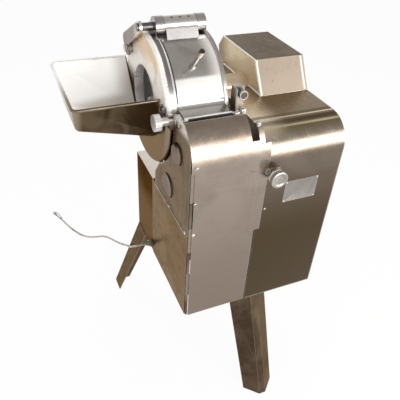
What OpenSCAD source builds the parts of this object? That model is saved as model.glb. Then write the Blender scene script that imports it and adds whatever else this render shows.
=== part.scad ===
// Drum-fed vegetable dicer on a tripod: feed door with hopper, impeller drum with an
// adjustable gate, circular and crosscut knives behind a hinged cover, belt and gear drive.
// Built from the left face (X = 0), the front face (Y = 0) and the floor (Z = 0), then
// moved so that the origin is on the floor, under the middle of the machine.

/* [Body] */
// Height of the body's underside above the floor
body_z = 350; // [300:5:420]
// Depth of the body, front to back
body_d = 486; // [476:2:530]
// Width of the knife compartment, from the left face to the main plate
knife_w = 206; // [203:1:216]
// Width of the drive housing
drive_w = 254; // [246:1:290]
// Height of the drive housing above the underside
drive_h = 612; // [604:1:622]
// Outside radius of the bend at the top front edge of the housing
bend_r = 82; // [50:1:90]
// Thickness of the panel sheet
sheet = 2; // [1.5:0.5:2.5]
// Height of the drum axis over the seam on the left side
seam_drop = 278; // [268:2:290]
// Distance of the connection box from the front face
box_y = 315; // [308:1:330]
// Thickness of the main plate that carries the drum and the spindles
plate_t = 12; // [10:1:14]
// Thickness of the left side plate
side_t = 8; // [6:1:10]
// Thickness of the inner plate that carries the drive ends of the shafts
gear_plate_t = 10; // [8:1:12]

/* [Pulley cover] */
// Distance of the pulley cover's left side from the main plate
guard_gap = 92; // [88:1:96]
// Distance of the pulley cover's foot from the front face
guard_y = 213; // [205:1:222]
// Height of the pulley cover above the housing
guard_h = 88; // [86:1:100]
// Lean of the pulley cover's front face, measured at its top
guard_lean = 55; // [40:1:60]
// Reach of the pulley cover behind the body
guard_back = 27; // [15:1:40]

/* [Drum] */
// Distance of the drum axis from the front face
drum_y = 326; // [322:1:332]
// Height of the housing's top over the drum axis
drum_drop = 14; // [12:1:18]
// Outside radius of the drum and the gate
drum_r = 180; // [175:1:183]
// Thickness of the drum wall and the gate
drum_wall = 8; // [6:1:9]
// Distance of the main plate behind the drum's wall
drum_gap = 56; // [54:1:60]
// Distance of the drum's mouth from the left face
drum_x = 10; // [8:1:12]
// Width of the fixed ring at the drum's mouth
mouth_ring = 6; // [4:1:8]
// Angle of the gate's lower end above the horizontal
gate_from = 15; // [14:1:20]
// Angle of the gate's upper end above the horizontal
gate_to = 82; // [78:1:83]
// Reach of the gate's lip in front of the gate
lip_reach = 55; // [48:1:60]

/* [Feed door and hopper] */
// Thickness of the feed door
door_t = 26; // [22:1:28]
// Radius of the feed door's rounded edge
door_round = 12; // [8:1:16]
// Radius of the inlet hole
inlet_r = 95; // [85:1:100]
// Reach of the hopper from the feed door
hopper_len = 226; // [200:2:250]
// Width of the hopper at its rim
hopper_w = 320; // [300:2:326]
// Height of the hopper's rim above the drum axis
hopper_rise = 56; // [48:1:62]
// Corner radius of the hopper's rim
hopper_corner = 14; // [10:1:30]

/* [Hinges and knobs] */
// Radius of the gate's hinge shaft
hinge_r = 10.5; // [9:0.5:12]
// Radius of the hinge knuckles
knuckle_r = 25; // [22:1:27]
// Length of the gate handle
handle_len = 75; // [55:1:90]
// Radius of the door's clamp knob
clamp_knob_r = 22; // [16:1:24]
// Radius of the cover's lock knob
lock_knob_r = 23; // [18:1:26]
// Distance of the lock knob below the line where the cover starts to curve
lock_drop = 49; // [40:1:110]

/* [Knives and impeller] */
// Radius of the circular knives
disc_r = 44; // [40:1:45]
// Distance between neighbouring circular knives, which sets the strip width
strip_w = 12; // [8:1:16]
// Radius of the crosscut knives
cross_r = 70; // [64:1:72]
// Number of crosscut knives
cross_count = 6; // [4:1:8]
// Number of impeller paddles
paddle_count = 3; // [3:1:4]
// Radius of the main shaft
main_shaft_r = 20; // [16:1:22]
// Radius of the two knife shafts
knife_shaft_r = 14; // [12:0.5:16]

/* [Knife cover] */
// Radius of the cover's curved top
cover_r = 120; // [110:1:124]
// Height of the drum axis over the line where the cover starts to curve
cover_drop = 53; // [50:1:63]
// Angle over which the cover curves
cover_sweep = 61; // [50:1:62]

/* [Legs] */
// How far each foot stands out from the body
leg_splay = 94; // [70:1:110]
// How far the front foot stands out in front of the body
front_splay = 150; // [110:1:170]
// Flange width of a leg at its top
leg_top = 81; // [70:1:90]
// Flange width of a leg at the floor
leg_foot = 60; // [45:1:70]
// Thickness of the leg sheet
leg_t = 4; // [3:0.5:5]
// Width of the front leg's flat face
front_web = 24; // [18:1:32]

/* [Drive] */
// Teeth of the gear on the main shaft
main_teeth = 30; // [28:1:30]
// Teeth of the large gear on the crosscut shaft
cross_teeth = 54; // [54:1:56]
// Teeth of the small-side gear on the crosscut shaft
second_teeth = 38; // [36:1:40]
// Teeth of the gear on the shaft of the circular knives
disc_teeth = 22; // [20:1:22]
// Face width of the gears
gear_w = 22; // [16:1:22]
// Radius of the main pulley
main_pulley_r = 85; // [75:1:86]
// Radius of the motor pulley
motor_pulley_r = 45; // [38:1:52]
// Radius of the motor body
motor_r = 72; // [62:1:76]

/* [Supply cord] */
// Diameter of the supply cord
cord_d = 8; // [6:0.5:9]

/* [Hidden] */
$fn = 64;

// Finishes
steel = [0.62, 0.58, 0.53];
bright = [0.80, 0.80, 0.80];
cast = [0.70, 0.70, 0.69];
dark = [0.12, 0.12, 0.13];
tan_sheet = [0.68, 0.61, 0.50];

// Clearances: between moving faces, on a running shaft, and between fixed neighbours
clear = 0.5;
run = 0.05;
joint_gap = 0.3;
// Overlap that makes a cut run past a face
past = 1;

// Heights above the underside, all set out from the housing's top
drum_h = drive_h - drum_drop;
seam_h = drum_h - seam_drop;
cover_curve_h = drum_h - cover_drop;
lock_h = cover_curve_h - lock_drop;

// Main planes
right_x = knife_w + drive_w;
top_z = body_z + drive_h;
seam_z = body_z + seam_h;
drum_z = body_z + drum_h;
drum_len = knife_w - drum_x - drum_gap;
drum_end = drum_x + drum_len;
guard_x = knife_w + guard_gap;
gear_plate_x = guard_x + gear_w + 9;
base_t = 3;

// Spindle axes, set out from the drum
disc_angle = 15.2;
disc_gap = 5;
disc_y = drum_y - (drum_r + disc_r + disc_gap) * cos(disc_angle);
disc_z = drum_z - (drum_r + disc_r + disc_gap) * sin(disc_angle);
cross_angle = 53.8;
cross_gap = 7.6;
cross_y = drum_y - (drum_r + cross_r + cross_gap) * cos(cross_angle);
cross_z = drum_z - (drum_r + cross_r + cross_gap) * sin(cross_angle);
motor_ahead = 40;
motor_foot = 30;
motor_y = drum_y - motor_ahead;
motor_z = body_z + base_t + motor_r + motor_foot;

// Gate hinge above the drum
hinge_y = drum_y;
hinge_z = drum_z + drum_r + 22;
hinge_x0 = drum_x;
hinge_x1 = drum_end + 3;
knuckle_len = 26;

// Door, clamp and gauge
door_face = drum_x - clear - door_t;
door_r = drum_r + 6;
clamp_angle = 7.5;
clamp_reach = door_r + 10;
clamp_y = drum_y - clamp_reach * cos(clamp_angle);
clamp_z = drum_z + clamp_reach * sin(clamp_angle);
clamp_stud_r = 6;
ear_slot_r = clamp_stud_r + 2;
ear_t = 10;
arm_t = 8;
arm_x = door_face - 7 - arm_t;
arm_bolt_angle = 41;
arm_bolt_y = drum_y + (door_r - door_round - 14) * cos(arm_bolt_angle);
arm_bolt_z = drum_z + (door_r - door_round - 14) * sin(arm_bolt_angle);
gauge_y = drum_y - 196;
gauge_z = drum_z + 74;
gauge_x = knife_w - 14;
gauge_step = 12;
gauge_left = gauge_x - 22;
gauge_screw_r = 6;

// Cover hinge at the left front corner
barrel_r = 4;
barrel_pin_r = 2.5;
barrel_z0 = body_z + 6;
barrel_z1 = body_z + cover_curve_h - 8;
barrel_count = 6;
swing_room = 2 * barrel_r + 2.2;
leaf_w = 27;
leaf_t = 1.5;
cover_gap = 1.5;
lock_x = knife_w + 30;
lock_neck_r = 6;
lock_tip_r = 4;
tab_t = 3;
lap_t = 2.5;
lap_w = 16;
slot_w = 22;
slot_h = 53;
strip_right = 15;
lip_z = body_z + cover_curve_h + cover_r * sin(cover_sweep);

// Hopper section
hopper_mid = drum_y + 29;
hopper_rim_z = drum_z + hopper_rise;
hopper_end = door_face - hopper_len;
hopper_toe = 8;
hopper_toe_r = 16;
hopper_toe_half = 76;
hopper_side_r = 60;

// Bearings
disc_bearing_r = 26;
cross_bearing_r = 30;
main_bearing_r = 33;
tube_r = 40;

// Origin: the middle of the outline on the floor
foot_left = -leg_splay;
foot_right = right_x + leg_splay;
foot_back = body_d + 0.67 * leg_splay;
foot_front = -front_splay - leg_t;
middle_x = (hopper_end + foot_right) / 2;
middle_y = (foot_front + foot_back) / 2;

// Supply cord: points of its middle line, from the gland to the free end on the floor
gland_y = 332;
gland_z = body_z + 25;
gland_r = 8;
box_inset = 1.5;
cord_rest = cord_d / 2 + 0.1;
cord_points = [
  [-20, gland_y, gland_z], [-37, gland_y + 3.4, gland_z - 3], [-49.4, gland_y + 12.8, gland_z - 11.2],
  [-54, gland_y + 25.6, gland_z - 22.4], [-54, 382, 330], [-53, 430, 285], [-52, 490, 238], [-50, 560, 182],
  [-50, 637, 124], [-50, 700, 78], [-51, 745, 47], [-56, 785, 24], [-66, 815, 11], [-84, 833, 6],
  [-110, 841, cord_rest], [-140, 850, cord_rest], [-168, 871, cord_rest], [-191, 905, cord_rest],
  [-215, 952, cord_rest], [-241, 1023, cord_rest], [-267, 1099, cord_rest]
];

// Puts the machine's origin on the floor under its middle
module placed() translate([-middle_x, -middle_y, 0]) children();

// Extrudes an outline drawn in Y and Z along X
module plate(x, w) translate([x, 0, 0]) rotate([90, 0, 90]) linear_extrude(w) children();

// Cylinder along X
module bar(x, y, z, r, len) translate([x, y, z]) rotate([0, 90, 0]) cylinder(r = r, h = len);

// Revolves an outline of radius and length about an X axis
module turned(x, y, z) translate([x, y, z]) rotate([0, 90, 0]) rotate_extrude() children();

// Ring along X
module ring(x, y, z, r_in, r_out, len)
  difference() {
    bar(x, y, z, r_out, len);
    bar(x - past, y, z, r_in, len + 2 * past);
  }

// Housing outline in Y and Z, set in from the outside by i
module housing_outline(i) {
  r = bend_r - i;
  translate([i, body_z + i]) square([body_d - 2 * i, drive_h - i - bend_r]);
  translate([bend_r, body_z + i]) square([body_d - i - bend_r, drive_h - 2 * i]);
  translate([bend_r, top_z - bend_r]) circle(r);
}

// Region behind the front cover's skin, set in from the outside by i
module cover_region(i) {
  curve_z = body_z + cover_curve_h;
  translate([i, body_z]) square([cover_r - i, cover_curve_h]);
  intersection() {
    translate([cover_r, curve_z]) circle(cover_r - i);
    translate([min(i, 0), curve_z - past]) square([cover_r - min(i, 0), lip_z - curve_z + past]);
  }
}

// Sector of a full circle from angle a to angle b above the front horizontal
module wedge(a, b, reach) {
  steps = 6;
  polygon(concat([[drum_y, drum_z]], [for (k = [0:steps])
    [drum_y - reach * cos(a + (b - a) * k / steps), drum_z + reach * sin(a + (b - a) * k / steps)]]));
}

// Points on the drum's section at a radius and an angle above the front horizontal
function on_drum(r, a) = [drum_y - r * cos(a), drum_z + r * sin(a)];

// Outline of a loop that runs round two wheels
module loop_outline(a, b, ra, rb) {
  d = norm(b - a);
  t = acos((ra - rb) / d);
  base = atan2(b[1] - a[1], b[0] - a[0]);
  translate(a) circle(ra);
  translate(b) circle(rb);
  polygon([for (s = [1, -1]) each let (u = [cos(base + s * t), sin(base + s * t)])
    s > 0 ? [a + ra * u, b + rb * u] : [b + rb * u, a + ra * u]]);
}

// Involute flank: turn of the flank away from its start on the base circle, in degrees
function flank(r, rb) = r <= rb ? 0 : let (t = sqrt(pow(r / rb, 2) - 1)) t * 180 / PI - atan(t);

// Spur gear outline with one tooth centred on angle 0
module gear_outline(teeth, module_mm) {
  rp = teeth * module_mm / 2;
  rb = rp * cos(20);
  backlash = 0.6;
  half = 90 / teeth - backlash / rp * 90 / PI + flank(rp, rb);
  tip = 0.8 * module_mm;
  radii = [rp - 1.05 * module_mm, max(rb, rp - tip), rp, rp + tip / 2, rp + tip];
  polygon([for (k = [0:teeth - 1], s = [-1, 1], j = [0:4])
    let (r = radii[s < 0 ? j : 4 - j], a = 360 * k / teeth + s * (half - flank(r, rb)))
    [r * cos(a), r * sin(a)]]);
}

// Gear on an X axis, turned by an angle, with a bore and lightening holes
module gear(x, y, z, teeth, module_mm, turn, bore) {
  rp = teeth * module_mm / 2;
  holes = rp > 2.6 * bore + 14 ? 6 : 0;
  plate(x, gear_w) translate([y, z]) rotate(turn) difference() {
    gear_outline(teeth, module_mm);
    circle(bore);
    for (k = [0:1:holes - 1])
      rotate(360 / holes * k) translate([(rp + bore) / 2, 0]) circle((rp - bore) / 5);
  }
}

gear_centres = norm([drum_y - cross_y, drum_z - cross_z]);
pair_centres = norm([disc_y - cross_y, disc_z - cross_z]);
main_module = 2 * gear_centres / (main_teeth + cross_teeth);
pair_module = 2 * pair_centres / (second_teeth + disc_teeth);
main_to_cross = atan2(cross_z - drum_z, cross_y - drum_y);
cross_to_disc = atan2(disc_z - cross_z, disc_y - cross_y);
pair_x = knife_w + plate_t + 22;
train_x = guard_x + 5;
pulley_x = gear_plate_x + gear_plate_t + 10;
groove_pitch = 17;
pulley_w = 2 * groove_pitch + 4;
shaft_end = pulley_x + pulley_w + 8;

// Front and top of the drive housing, bent from one sheet
module housing_wrap() {
  hole_y = main_pulley_r + 18;
  color(steel) difference() {
    plate(knife_w, drive_w - sheet) difference() {
      housing_outline(0);
      housing_outline(sheet);
      translate([body_d - sheet, body_z - past]) square([2 * sheet, drive_h + 2 * past]);
      translate([-past, body_z - past]) square([body_d + 2 * past, base_t + past]);
    }
    // Openings in the top for the plate's bearing lobe, the tube, and the gear and pulley
    translate([knife_w - past, drum_y - tube_r - 24, top_z - 10])
      cube([plate_t + past + clear, 2 * tube_r + 48, 20]);
    translate([knife_w, drum_y - tube_r - 2, top_z - 10]) cube([guard_gap + 10, 2 * tube_r + 4, 20]);
    translate([guard_x + 2 * sheet, drum_y - hole_y, top_z - 10])
      cube([shaft_end - guard_x, 2 * hole_y, 20]);
    // Hole for the tip of the cover's lock screw
    translate([lock_x, -past, body_z + lock_h]) rotate([-90, 0, 0]) cylinder(r = lock_tip_r + 1, h = 10);
  }
}

// Flat right-hand side of the drive housing, with a ventilated motor field
module housing_right_side() {
  slots = 7;
  color(steel) difference() {
    plate(right_x - sheet, sheet) housing_outline(0);
    for (k = [0:slots - 1])
      translate([right_x - 2 * sheet, motor_y - 60, motor_z - 60 + 20 * k]) cube([4 * sheet, 120, 6]);
  }
}

// Back sheet of the drive housing
module housing_back()
  color(steel)
    translate([knife_w, body_d - sheet, body_z + base_t])
      cube([drive_w - sheet, sheet, drive_h - base_t]);

// Floor of the drive housing
module base_plate()
  color(steel)
    translate([knife_w, 0, body_z]) cube([drive_w - sheet, body_d, base_t]);

// Bores that the shafts run through
module spindle_bores(x, w) {
  bar(x, disc_y, disc_z, disc_bearing_r, w);
  bar(x, cross_y, cross_z, cross_bearing_r, w);
}

// Thick plate between the knives and the drive
module main_plate()
  color(cast) difference() {
    plate(knife_w, plate_t) {
      difference() {
        housing_outline(sheet + joint_gap);
        translate([0, body_z]) square([body_d, base_t + joint_gap]);
      }
      translate([drum_y, drum_z]) circle(tube_r + 22);
    }
    spindle_bores(knife_w - past, plate_t + 2 * past);
    bar(knife_w - past, drum_y, drum_z, tube_r, plate_t + 2 * past);
  }

// Inner plate that carries the drive ends of the shafts
module gear_plate() {
  edge = 14;
  color(cast) difference() {
    plate(gear_plate_x, gear_plate_t) {
      difference() {
        housing_outline(edge);
        translate([0, body_z]) square([body_d, base_t + edge]);
      }
      translate([edge + 20, body_z + base_t]) square([body_d - 2 * edge - 20, 60]);
      translate([drum_y, drum_z]) circle(main_bearing_r + 14);
    }
    bar(gear_plate_x - past, drum_y, drum_z, main_bearing_r, gear_plate_t + 2 * past);
    bar(gear_plate_x - past, cross_y, cross_z, cross_bearing_r, gear_plate_t + 2 * past);
    bar(gear_plate_x - past, motor_y, motor_z, motor_pulley_r + 8, gear_plate_t + 2 * past);
  }
}

// Studs that hold the two drive plates apart
module spacer_studs() {
  x0 = knife_w + plate_t;
  stud_r = 9;
  in = 5 * stud_r;
  low = body_z + in;
  under_gear = drum_z - main_module * main_teeth / 2 - in;
  color(bright)
    for (p = [[in, low], [body_d - in, low], [body_d - in, under_gear], [in, (low + cross_z) / 2 - in / 2]])
      bar(x0, p[0], p[1], stud_r, gear_plate_x - x0);
}

// Outline of the pulley cover in Y and Z
module guard_outline()
  polygon([[guard_y, top_z], [guard_y + guard_lean, top_z + guard_h], [body_d - 4, top_z + guard_h],
           [body_d + guard_back, top_z + 0.55 * guard_h], [body_d + guard_back - 8, top_z + 0.3 * guard_h],
           [body_d - 20, top_z]]);

// Sheet box over the main pulley
module pulley_cover()
  color(tan_sheet) difference() {
    plate(guard_x, right_x - guard_x) guard_outline();
    plate(guard_x + sheet, right_x - guard_x - 2 * sheet) {
      offset(delta = -sheet) guard_outline();
      translate([guard_y + 10, top_z - past]) square([body_d - guard_y - 40, 10]);
    }
    bar(guard_x - past, drum_y, drum_z, tube_r + clear, 10);
  }

// Closed box at the rear left that takes the supply cord
module connection_box()
  color(steel) difference() {
    translate([box_inset, box_y, body_z]) cube([knife_w - box_inset, body_d - box_y, seam_h]);
    translate([box_inset + sheet, box_y + sheet, body_z + sheet])
      cube([knife_w - box_inset - 2 * sheet, body_d - box_y - 2 * sheet, seam_h - 2 * sheet]);
    bar(-past, gland_y, gland_z, gland_r, 10);
  }

// Outline of the left side plate: it follows the cover in front and the drum behind
module side_outline() {
  back_y = box_y - 29;
  difference() {
    union() {
      cover_region(sheet + 2);
      translate([cover_r - past, seam_z]) square([back_y - cover_r + past, 50]);
      polygon([[cover_r - past, seam_z + 49], [back_y, seam_z + 49],
               [back_y - 36, drum_z - drum_r], [cover_r - past, lip_z]]);
    }
    translate([0, body_z - past]) square([body_d, seam_h + past + joint_gap]);
    translate([0, body_z]) square([swing_room, cover_curve_h + cover_r * 3 / 8]);
    translate([drum_y, drum_z]) circle(door_r + 6);
    translate([0, lip_z - 14]) square([body_d, 60]);
  }
}

// Left side plate with the outer bearings of the knife shafts and the clamp boss
module side_plate()
  color(steel) difference() {
    union() {
      plate(0, side_t) side_outline();
      bar(-4, clamp_y, clamp_z, 15, side_t + 4);
      plate(0, side_t)
        polygon([[clamp_y - 34, clamp_z - 30], [clamp_y - 34, clamp_z + 10], [clamp_y, clamp_z + 15],
                 [clamp_y + 5, clamp_z - 14]]);
      plate(-2, side_t + 10)
        polygon([[clamp_y - 34, clamp_z - 4], [clamp_y - 34, clamp_z + 10], [clamp_y, clamp_z + 15],
                 [clamp_y + 4, clamp_z - 5]]);
    }
    spindle_bores(-past, side_t + 2 * past);
    bar(-10, clamp_y, clamp_z, clamp_stud_r, side_t + 20);
    bar(-20, drum_y, drum_z, door_r + 1.5, 60);
    translate([sheet, 0, body_z]) cube([side_t, 32, cover_curve_h]);
  }

// Left wall and slanted back of the discharge, open at the bottom
module discharge_chute() {
  back_foot = box_y - 90;
  color(steel) {
    translate([0, 2 * barrel_r + 1.5, body_z])
      cube([sheet, box_y - joint_gap - 2 * barrel_r - 1.5, seam_h]);
    plate(sheet, knife_w - sheet - joint_gap)
      polygon([[back_foot, body_z], [back_foot + sheet, body_z], [box_y - joint_gap, seam_z - 60],
               [box_y - joint_gap, seam_z], [box_y - sheet - joint_gap, seam_z],
               [box_y - sheet - joint_gap, seam_z - 60]]);
  }
}

// Back wall of the knife compartment, under the drum
module compartment_back() {
  y1 = box_y - 29;
  z1 = seam_z + 40;
  p = on_drum(drum_r + 16, -72);
  color(steel) plate(side_t + joint_gap, knife_w - side_t - 2 * joint_gap)
    polygon([[box_y - joint_gap, seam_z + joint_gap], [y1, seam_z + joint_gap], [y1, z1], p,
             [p[0] + 2 * sheet, p[1]], [y1 + sheet, z1 + 3 * sheet], [y1 + sheet, seam_z + sheet + joint_gap],
             [box_y - joint_gap, seam_z + sheet + joint_gap]]);
}

// One tapered strip of a leg, from a line on the body to a line on the floor
module leg_strip(top, foot)
  hull() {
    translate([0, 0, body_z - past]) linear_extrude(past) polygon(top);
    linear_extrude(past) polygon(foot);
  }

// Strip outline between two points, thickened towards one side
function strip(a, b, t) = let (u = (b - a) / norm(b - a), n = [-u[1], u[0]] * t) [a, b, b + n, a + n];

// Rear leg: an angle of sheet whose outer corner runs from the body's corner to the foot
module rear_leg() {
  top = [0, body_d];
  foot = [foot_left, foot_back];
  color(steel) {
    leg_strip(strip(top - [0, leg_top], top, -leg_t), strip(foot - [0, leg_foot], foot, -leg_t));
    leg_strip(strip(top, top + [leg_top, 0], -leg_t), strip(foot, foot + [leg_foot, 0], -leg_t));
  }
}

module rear_left_leg() rear_leg();

module rear_right_leg() translate([right_x, 0, 0]) mirror([1, 0, 0]) rear_leg();

// Front leg: a flat front strip with two flanges folded back
module front_leg() {
  mid = knife_w + 41;
  fold = [1, 1] / sqrt(2);
  a0 = [mid - front_web / 2, leg_t];
  b0 = [mid + front_web / 2, leg_t];
  a1 = [a0[0], foot_front];
  b1 = [b0[0], foot_front];
  back = [fold[0], fold[1]];
  left = [-fold[0], fold[1]];
  color(steel) {
    leg_strip(strip(a0, b0, leg_t), strip(a1, b1, leg_t));
    leg_strip(strip(a0 + left * leg_top, a0, leg_t), strip(a1 + left * leg_foot, a1, leg_t));
    leg_strip(strip(b0, b0 + back * leg_top, leg_t), strip(b1, b1 + back * leg_foot, leg_t));
  }
}

// Fixed drum: a mouth ring, the wall below and behind the gate, and a back wall
window_from = -11;
module drum()
  color(cast) difference() {
    turned(drum_x, drum_y, drum_z) {
      translate([drum_r - drum_wall, 0]) square([drum_wall, drum_len]);
      translate([main_shaft_r + 4, drum_len]) square([drum_r + 4 - main_shaft_r - 4, 10]);
    }
    plate(drum_x + mouth_ring, drum_len - mouth_ring) wedge(window_from, gate_to + 14, drum_r + 30);
  }

// Bearing tube that carries the drum on the main plate
module bearing_tube()
  color(cast) difference() {
    union() {
      bar(drum_end + 10, drum_y, drum_z, 2 * tube_r, plate_t);
      bar(drum_end + 10, drum_y, drum_z, tube_r, guard_x + sheet - drum_end - 10);
      bar(knife_w - 10, drum_y, drum_z, 1.5 * tube_r, 10);
    }
    bar(drum_end, drum_y, drum_z, main_bearing_r, 34);
    bar(drum_end, drum_y, drum_z, main_shaft_r + 3, 200);
  }

// Fixed end knuckles of the gate hinge, on a foot that stands on the drum's top
module gate_hinge_block()
  color(bright) difference() {
    union() {
      for (x = [hinge_x0, hinge_x1 - knuckle_len]) {
        bar(x, hinge_y, hinge_z, knuckle_r, knuckle_len);
        translate([x, hinge_y, drum_z + drum_r - drum_wall + 4])
          cube([knuckle_len, knuckle_r + 14, hinge_z - drum_z - drum_r + drum_wall - 4]);
      }
      translate([hinge_x0, hinge_y + knuckle_r + clear, drum_z + drum_r - drum_wall])
        cube([hinge_x1 - hinge_x0, 14 - clear, 22]);
    }
    bar(hinge_x0 - past, hinge_y, hinge_z, hinge_r, hinge_x1 - hinge_x0 + 2 * past);
    bar(hinge_x0 - past, drum_y, drum_z, drum_r, drum_len + past);
    bar(drum_end, drum_y, drum_z, drum_r + 4, 20);
  }

// Shaft of the gate hinge, which also carries the feed door
module gate_hinge_shaft()
  color(bright) bar(arm_x - 4, hinge_y, hinge_z, hinge_r, hinge_x1 - arm_x + 4);

// Stud for the clamp knob
module clamp_stud()
  color(bright) bar(door_face - 33, clamp_y, clamp_z, clamp_stud_r, side_t - door_face + 33);

// Bracket with the stop for the gate, bolted to the main plate
module gauge_bracket()
  color(steel) difference() {
    union() {
      translate([knife_w - 10, gauge_y, drum_z - 30]) cube([10, 34, 60]);
      translate([gauge_left, gauge_y, drum_z + 20]) cube([knife_w - gauge_left, 34, 6]);
      translate([gauge_left, gauge_y + gauge_step, drum_z + 20]) cube([32, 10, gauge_z - drum_z - 4]);
      translate([gauge_left, gauge_y - 4, drum_z + 20]) cube([4, 30, gauge_z - drum_z - 4]);
    }
    translate([gauge_x - 3, gauge_y, gauge_z]) rotate([-90, 0, 0]) cylinder(r = gauge_screw_r + run, h = 40);
  }

// Slicing knife at the drum's front opening
module slice_knife() {
  root = on_drum(drum_r + 0.4, -9.5);
  edge = on_drum(drum_r - drum_wall - 1, 11);
  color(bright) plate(drum_x + mouth_ring + clear, drum_len - mouth_ring - 2 * clear)
    polygon([root, edge, [root[0] - 4, root[1] + 2]]);
}

// Holder that clamps the slicing knife to the drum
module knife_holder() {
  a = on_drum(drum_r + 4.6, -9);
  color(cast) plate(drum_x, drum_len)
    polygon([a, [a[0] - 13, a[1] + 22], [a[0] - 11, a[1] + 44], [a[0] + 2, a[1] + 46]]);
}

disc_first = side_t + 18;
disc_count = floor((knife_w - disc_first - 24) / strip_w) + 1;
disc_last = disc_first + strip_w * (disc_count - 1);
disc_t = 2;
disc_collar = 6;
spacer_r = knife_shaft_r + 6;

// Comb that clears the strips out from between the circular knives
module stripper_comb() {
  turn = -60;
  color(cast) difference() {
    translate([side_t, disc_y, disc_z]) rotate([turn, 0, 0])
      translate([0, spacer_r + 5, -3]) cube([knife_w - side_t, 56, 6]);
    for (k = [0:disc_count - 1])
      bar(disc_first + strip_w * k - 1, disc_y, disc_z, disc_r + 3, disc_t + 2);
    bar(0, disc_y, disc_z, disc_r + 3, disc_first - 1);
    bar(disc_last + disc_t + 1, disc_y, disc_z, disc_r + 3, knife_w);
  }
}

// Round caps over the outer bearings
module bearing_cap(y, z, r) {
  cap_t = 7;
  edge = 4;
  rim = r + edge / 2;
  turned(-cap_t, y, z) polygon([[0, 0], [r - edge, 0], [rim, edge], [rim, cap_t], [0, cap_t]]);
}

module bearing_caps()
  color(bright) {
    bearing_cap(disc_y, disc_z, disc_bearing_r + 4);
    bearing_cap(cross_y, cross_z, cross_bearing_r + 6);
  }

// Bearings of the knife shafts and the main shaft
module disc_bearings()
  color(bright) {
    ring(0, disc_y, disc_z, knife_shaft_r + run, disc_bearing_r, side_t + 6);
    ring(knife_w - 4, disc_y, disc_z, knife_shaft_r + run, disc_bearing_r, plate_t + 4);
  }

module cross_bearings()
  color(bright) {
    ring(0, cross_y, cross_z, knife_shaft_r + run, cross_bearing_r, side_t + 6);
    ring(knife_w - 4, cross_y, cross_z, knife_shaft_r + run, cross_bearing_r, plate_t + 4);
    ring(gear_plate_x, cross_y, cross_z, knife_shaft_r + run, cross_bearing_r, gear_plate_t);
  }

module main_bearings()
  color(bright) {
    ring(drum_end + 12, drum_y, drum_z, main_shaft_r + run, main_bearing_r, 22);
    ring(gear_plate_x, drum_y, drum_z, main_shaft_r + run, main_bearing_r, gear_plate_t);
  }

// Motor on the floor of the housing
motor_x = knife_w + plate_t + 6;
motor_len = gear_plate_x - motor_x - 8;
module motor() {
  fins = 24;
  color(dark) difference() {
    union() {
      bar(motor_x, motor_y, motor_z, motor_r - 6, motor_len);
      bar(motor_x, motor_y, motor_z, motor_r, 16);
      bar(motor_x + motor_len - 14, motor_y, motor_z, motor_r, 14);
      for (k = [0:fins - 1])
        translate([motor_x + 10, motor_y, motor_z]) rotate([360 / fins * k, 0, 0])
          translate([0, 0, motor_r - 8]) translate([0, -1.5, 0]) cube([motor_len - 20, 3, 7]);
      translate([motor_x + 18, motor_y - motor_r + 4, body_z + base_t])
        cube([motor_len - 36, 2 * motor_r - 8, motor_z - body_z - base_t - motor_r / 2]);
    }
    bar(motor_x + 30, motor_y, motor_z, 12 + run, motor_len);
    translate([motor_x, motor_y - motor_r / 2, body_z + base_t - past]) cube([motor_len, motor_r, 18]);
  }
}

// Two V-belts between the motor pulley and the main pulley
belt_h = 8;
groove_h = 11;
module drive_belts()
  color(dark)
    for (k = [0, 1])
      plate(pulley_x + 2 + groove_pitch * (k + 0.5) - 4, 8) difference() {
        r1 = motor_pulley_r - groove_h + clear;
        r2 = main_pulley_r - groove_h + clear;
        loop_outline([motor_y, motor_z], [drum_y, drum_z], r1 + belt_h, r2 + belt_h);
        loop_outline([motor_y, motor_z], [drum_y, drum_z], r1, r2);
      }

// Section of a pulley with two grooves: radius, then length
module pulley_section(r, bore) {
  half = groove_pitch / 2;
  polygon(concat([[bore, 0], [r, 0]],
    [for (k = [0, 1], p = [[r, -6.5], [r - groove_h, -4.6], [r - groove_h, 4.6], [r, 6.5]])
      [p[0], 2 + half + groove_pitch * k + p[1]]],
    [[r, pulley_w], [bore, pulley_w]]));
}

// Length and start of one knuckle of the cover hinge
barrel_len = (barrel_z1 - barrel_z0) / barrel_count;
function barrel_z(k) = barrel_z0 + barrel_len * k;

// One knuckle with its leaf; the leaf lies along X on the cover and along Y on the frame
module barrel(k, on_cover)
  difference() {
    union() {
      translate([barrel_r, barrel_r, barrel_z(k) + clear / 2]) cylinder(r = barrel_r, h = barrel_len - clear);
      translate([on_cover ? barrel_r : sheet, on_cover ? sheet : barrel_r, barrel_z(k) + clear / 2])
        cube([on_cover ? leaf_w : leaf_t, on_cover ? leaf_t : leaf_w, barrel_len - clear]);
    }
    translate([barrel_r, barrel_r, barrel_z(k) - past])
      cylinder(r = barrel_pin_r + run, h = barrel_len + 2 * past);
  }

// Fixed half of the cover's long hinge
module cover_hinge()
  color(bright)
    for (k = [0:2:barrel_count - 1])
      barrel(k, false);

// Pin of the cover's hinge
module cover_hinge_pin()
  color(bright)
    translate([barrel_r, barrel_r, barrel_z0]) cylinder(r = barrel_pin_r, h = barrel_z1 - barrel_z0);

// Cable gland on the connection box
module cable_gland()
  color(dark) difference() {
    union() {
      bar(-3, gland_y, gland_z, gland_r, 12);
      translate([box_inset - 10, gland_y, gland_z]) rotate([0, 90, 0]) cylinder(r = 14, h = 10, $fn = 6);
      translate([box_inset - 21, gland_y, gland_z]) rotate([0, 90, 0]) cylinder(r1 = 7, r2 = 11, h = 12);
    }
    bar(-40, gland_y, gland_z, cord_d / 2 + joint_gap, 60);
  }

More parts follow.
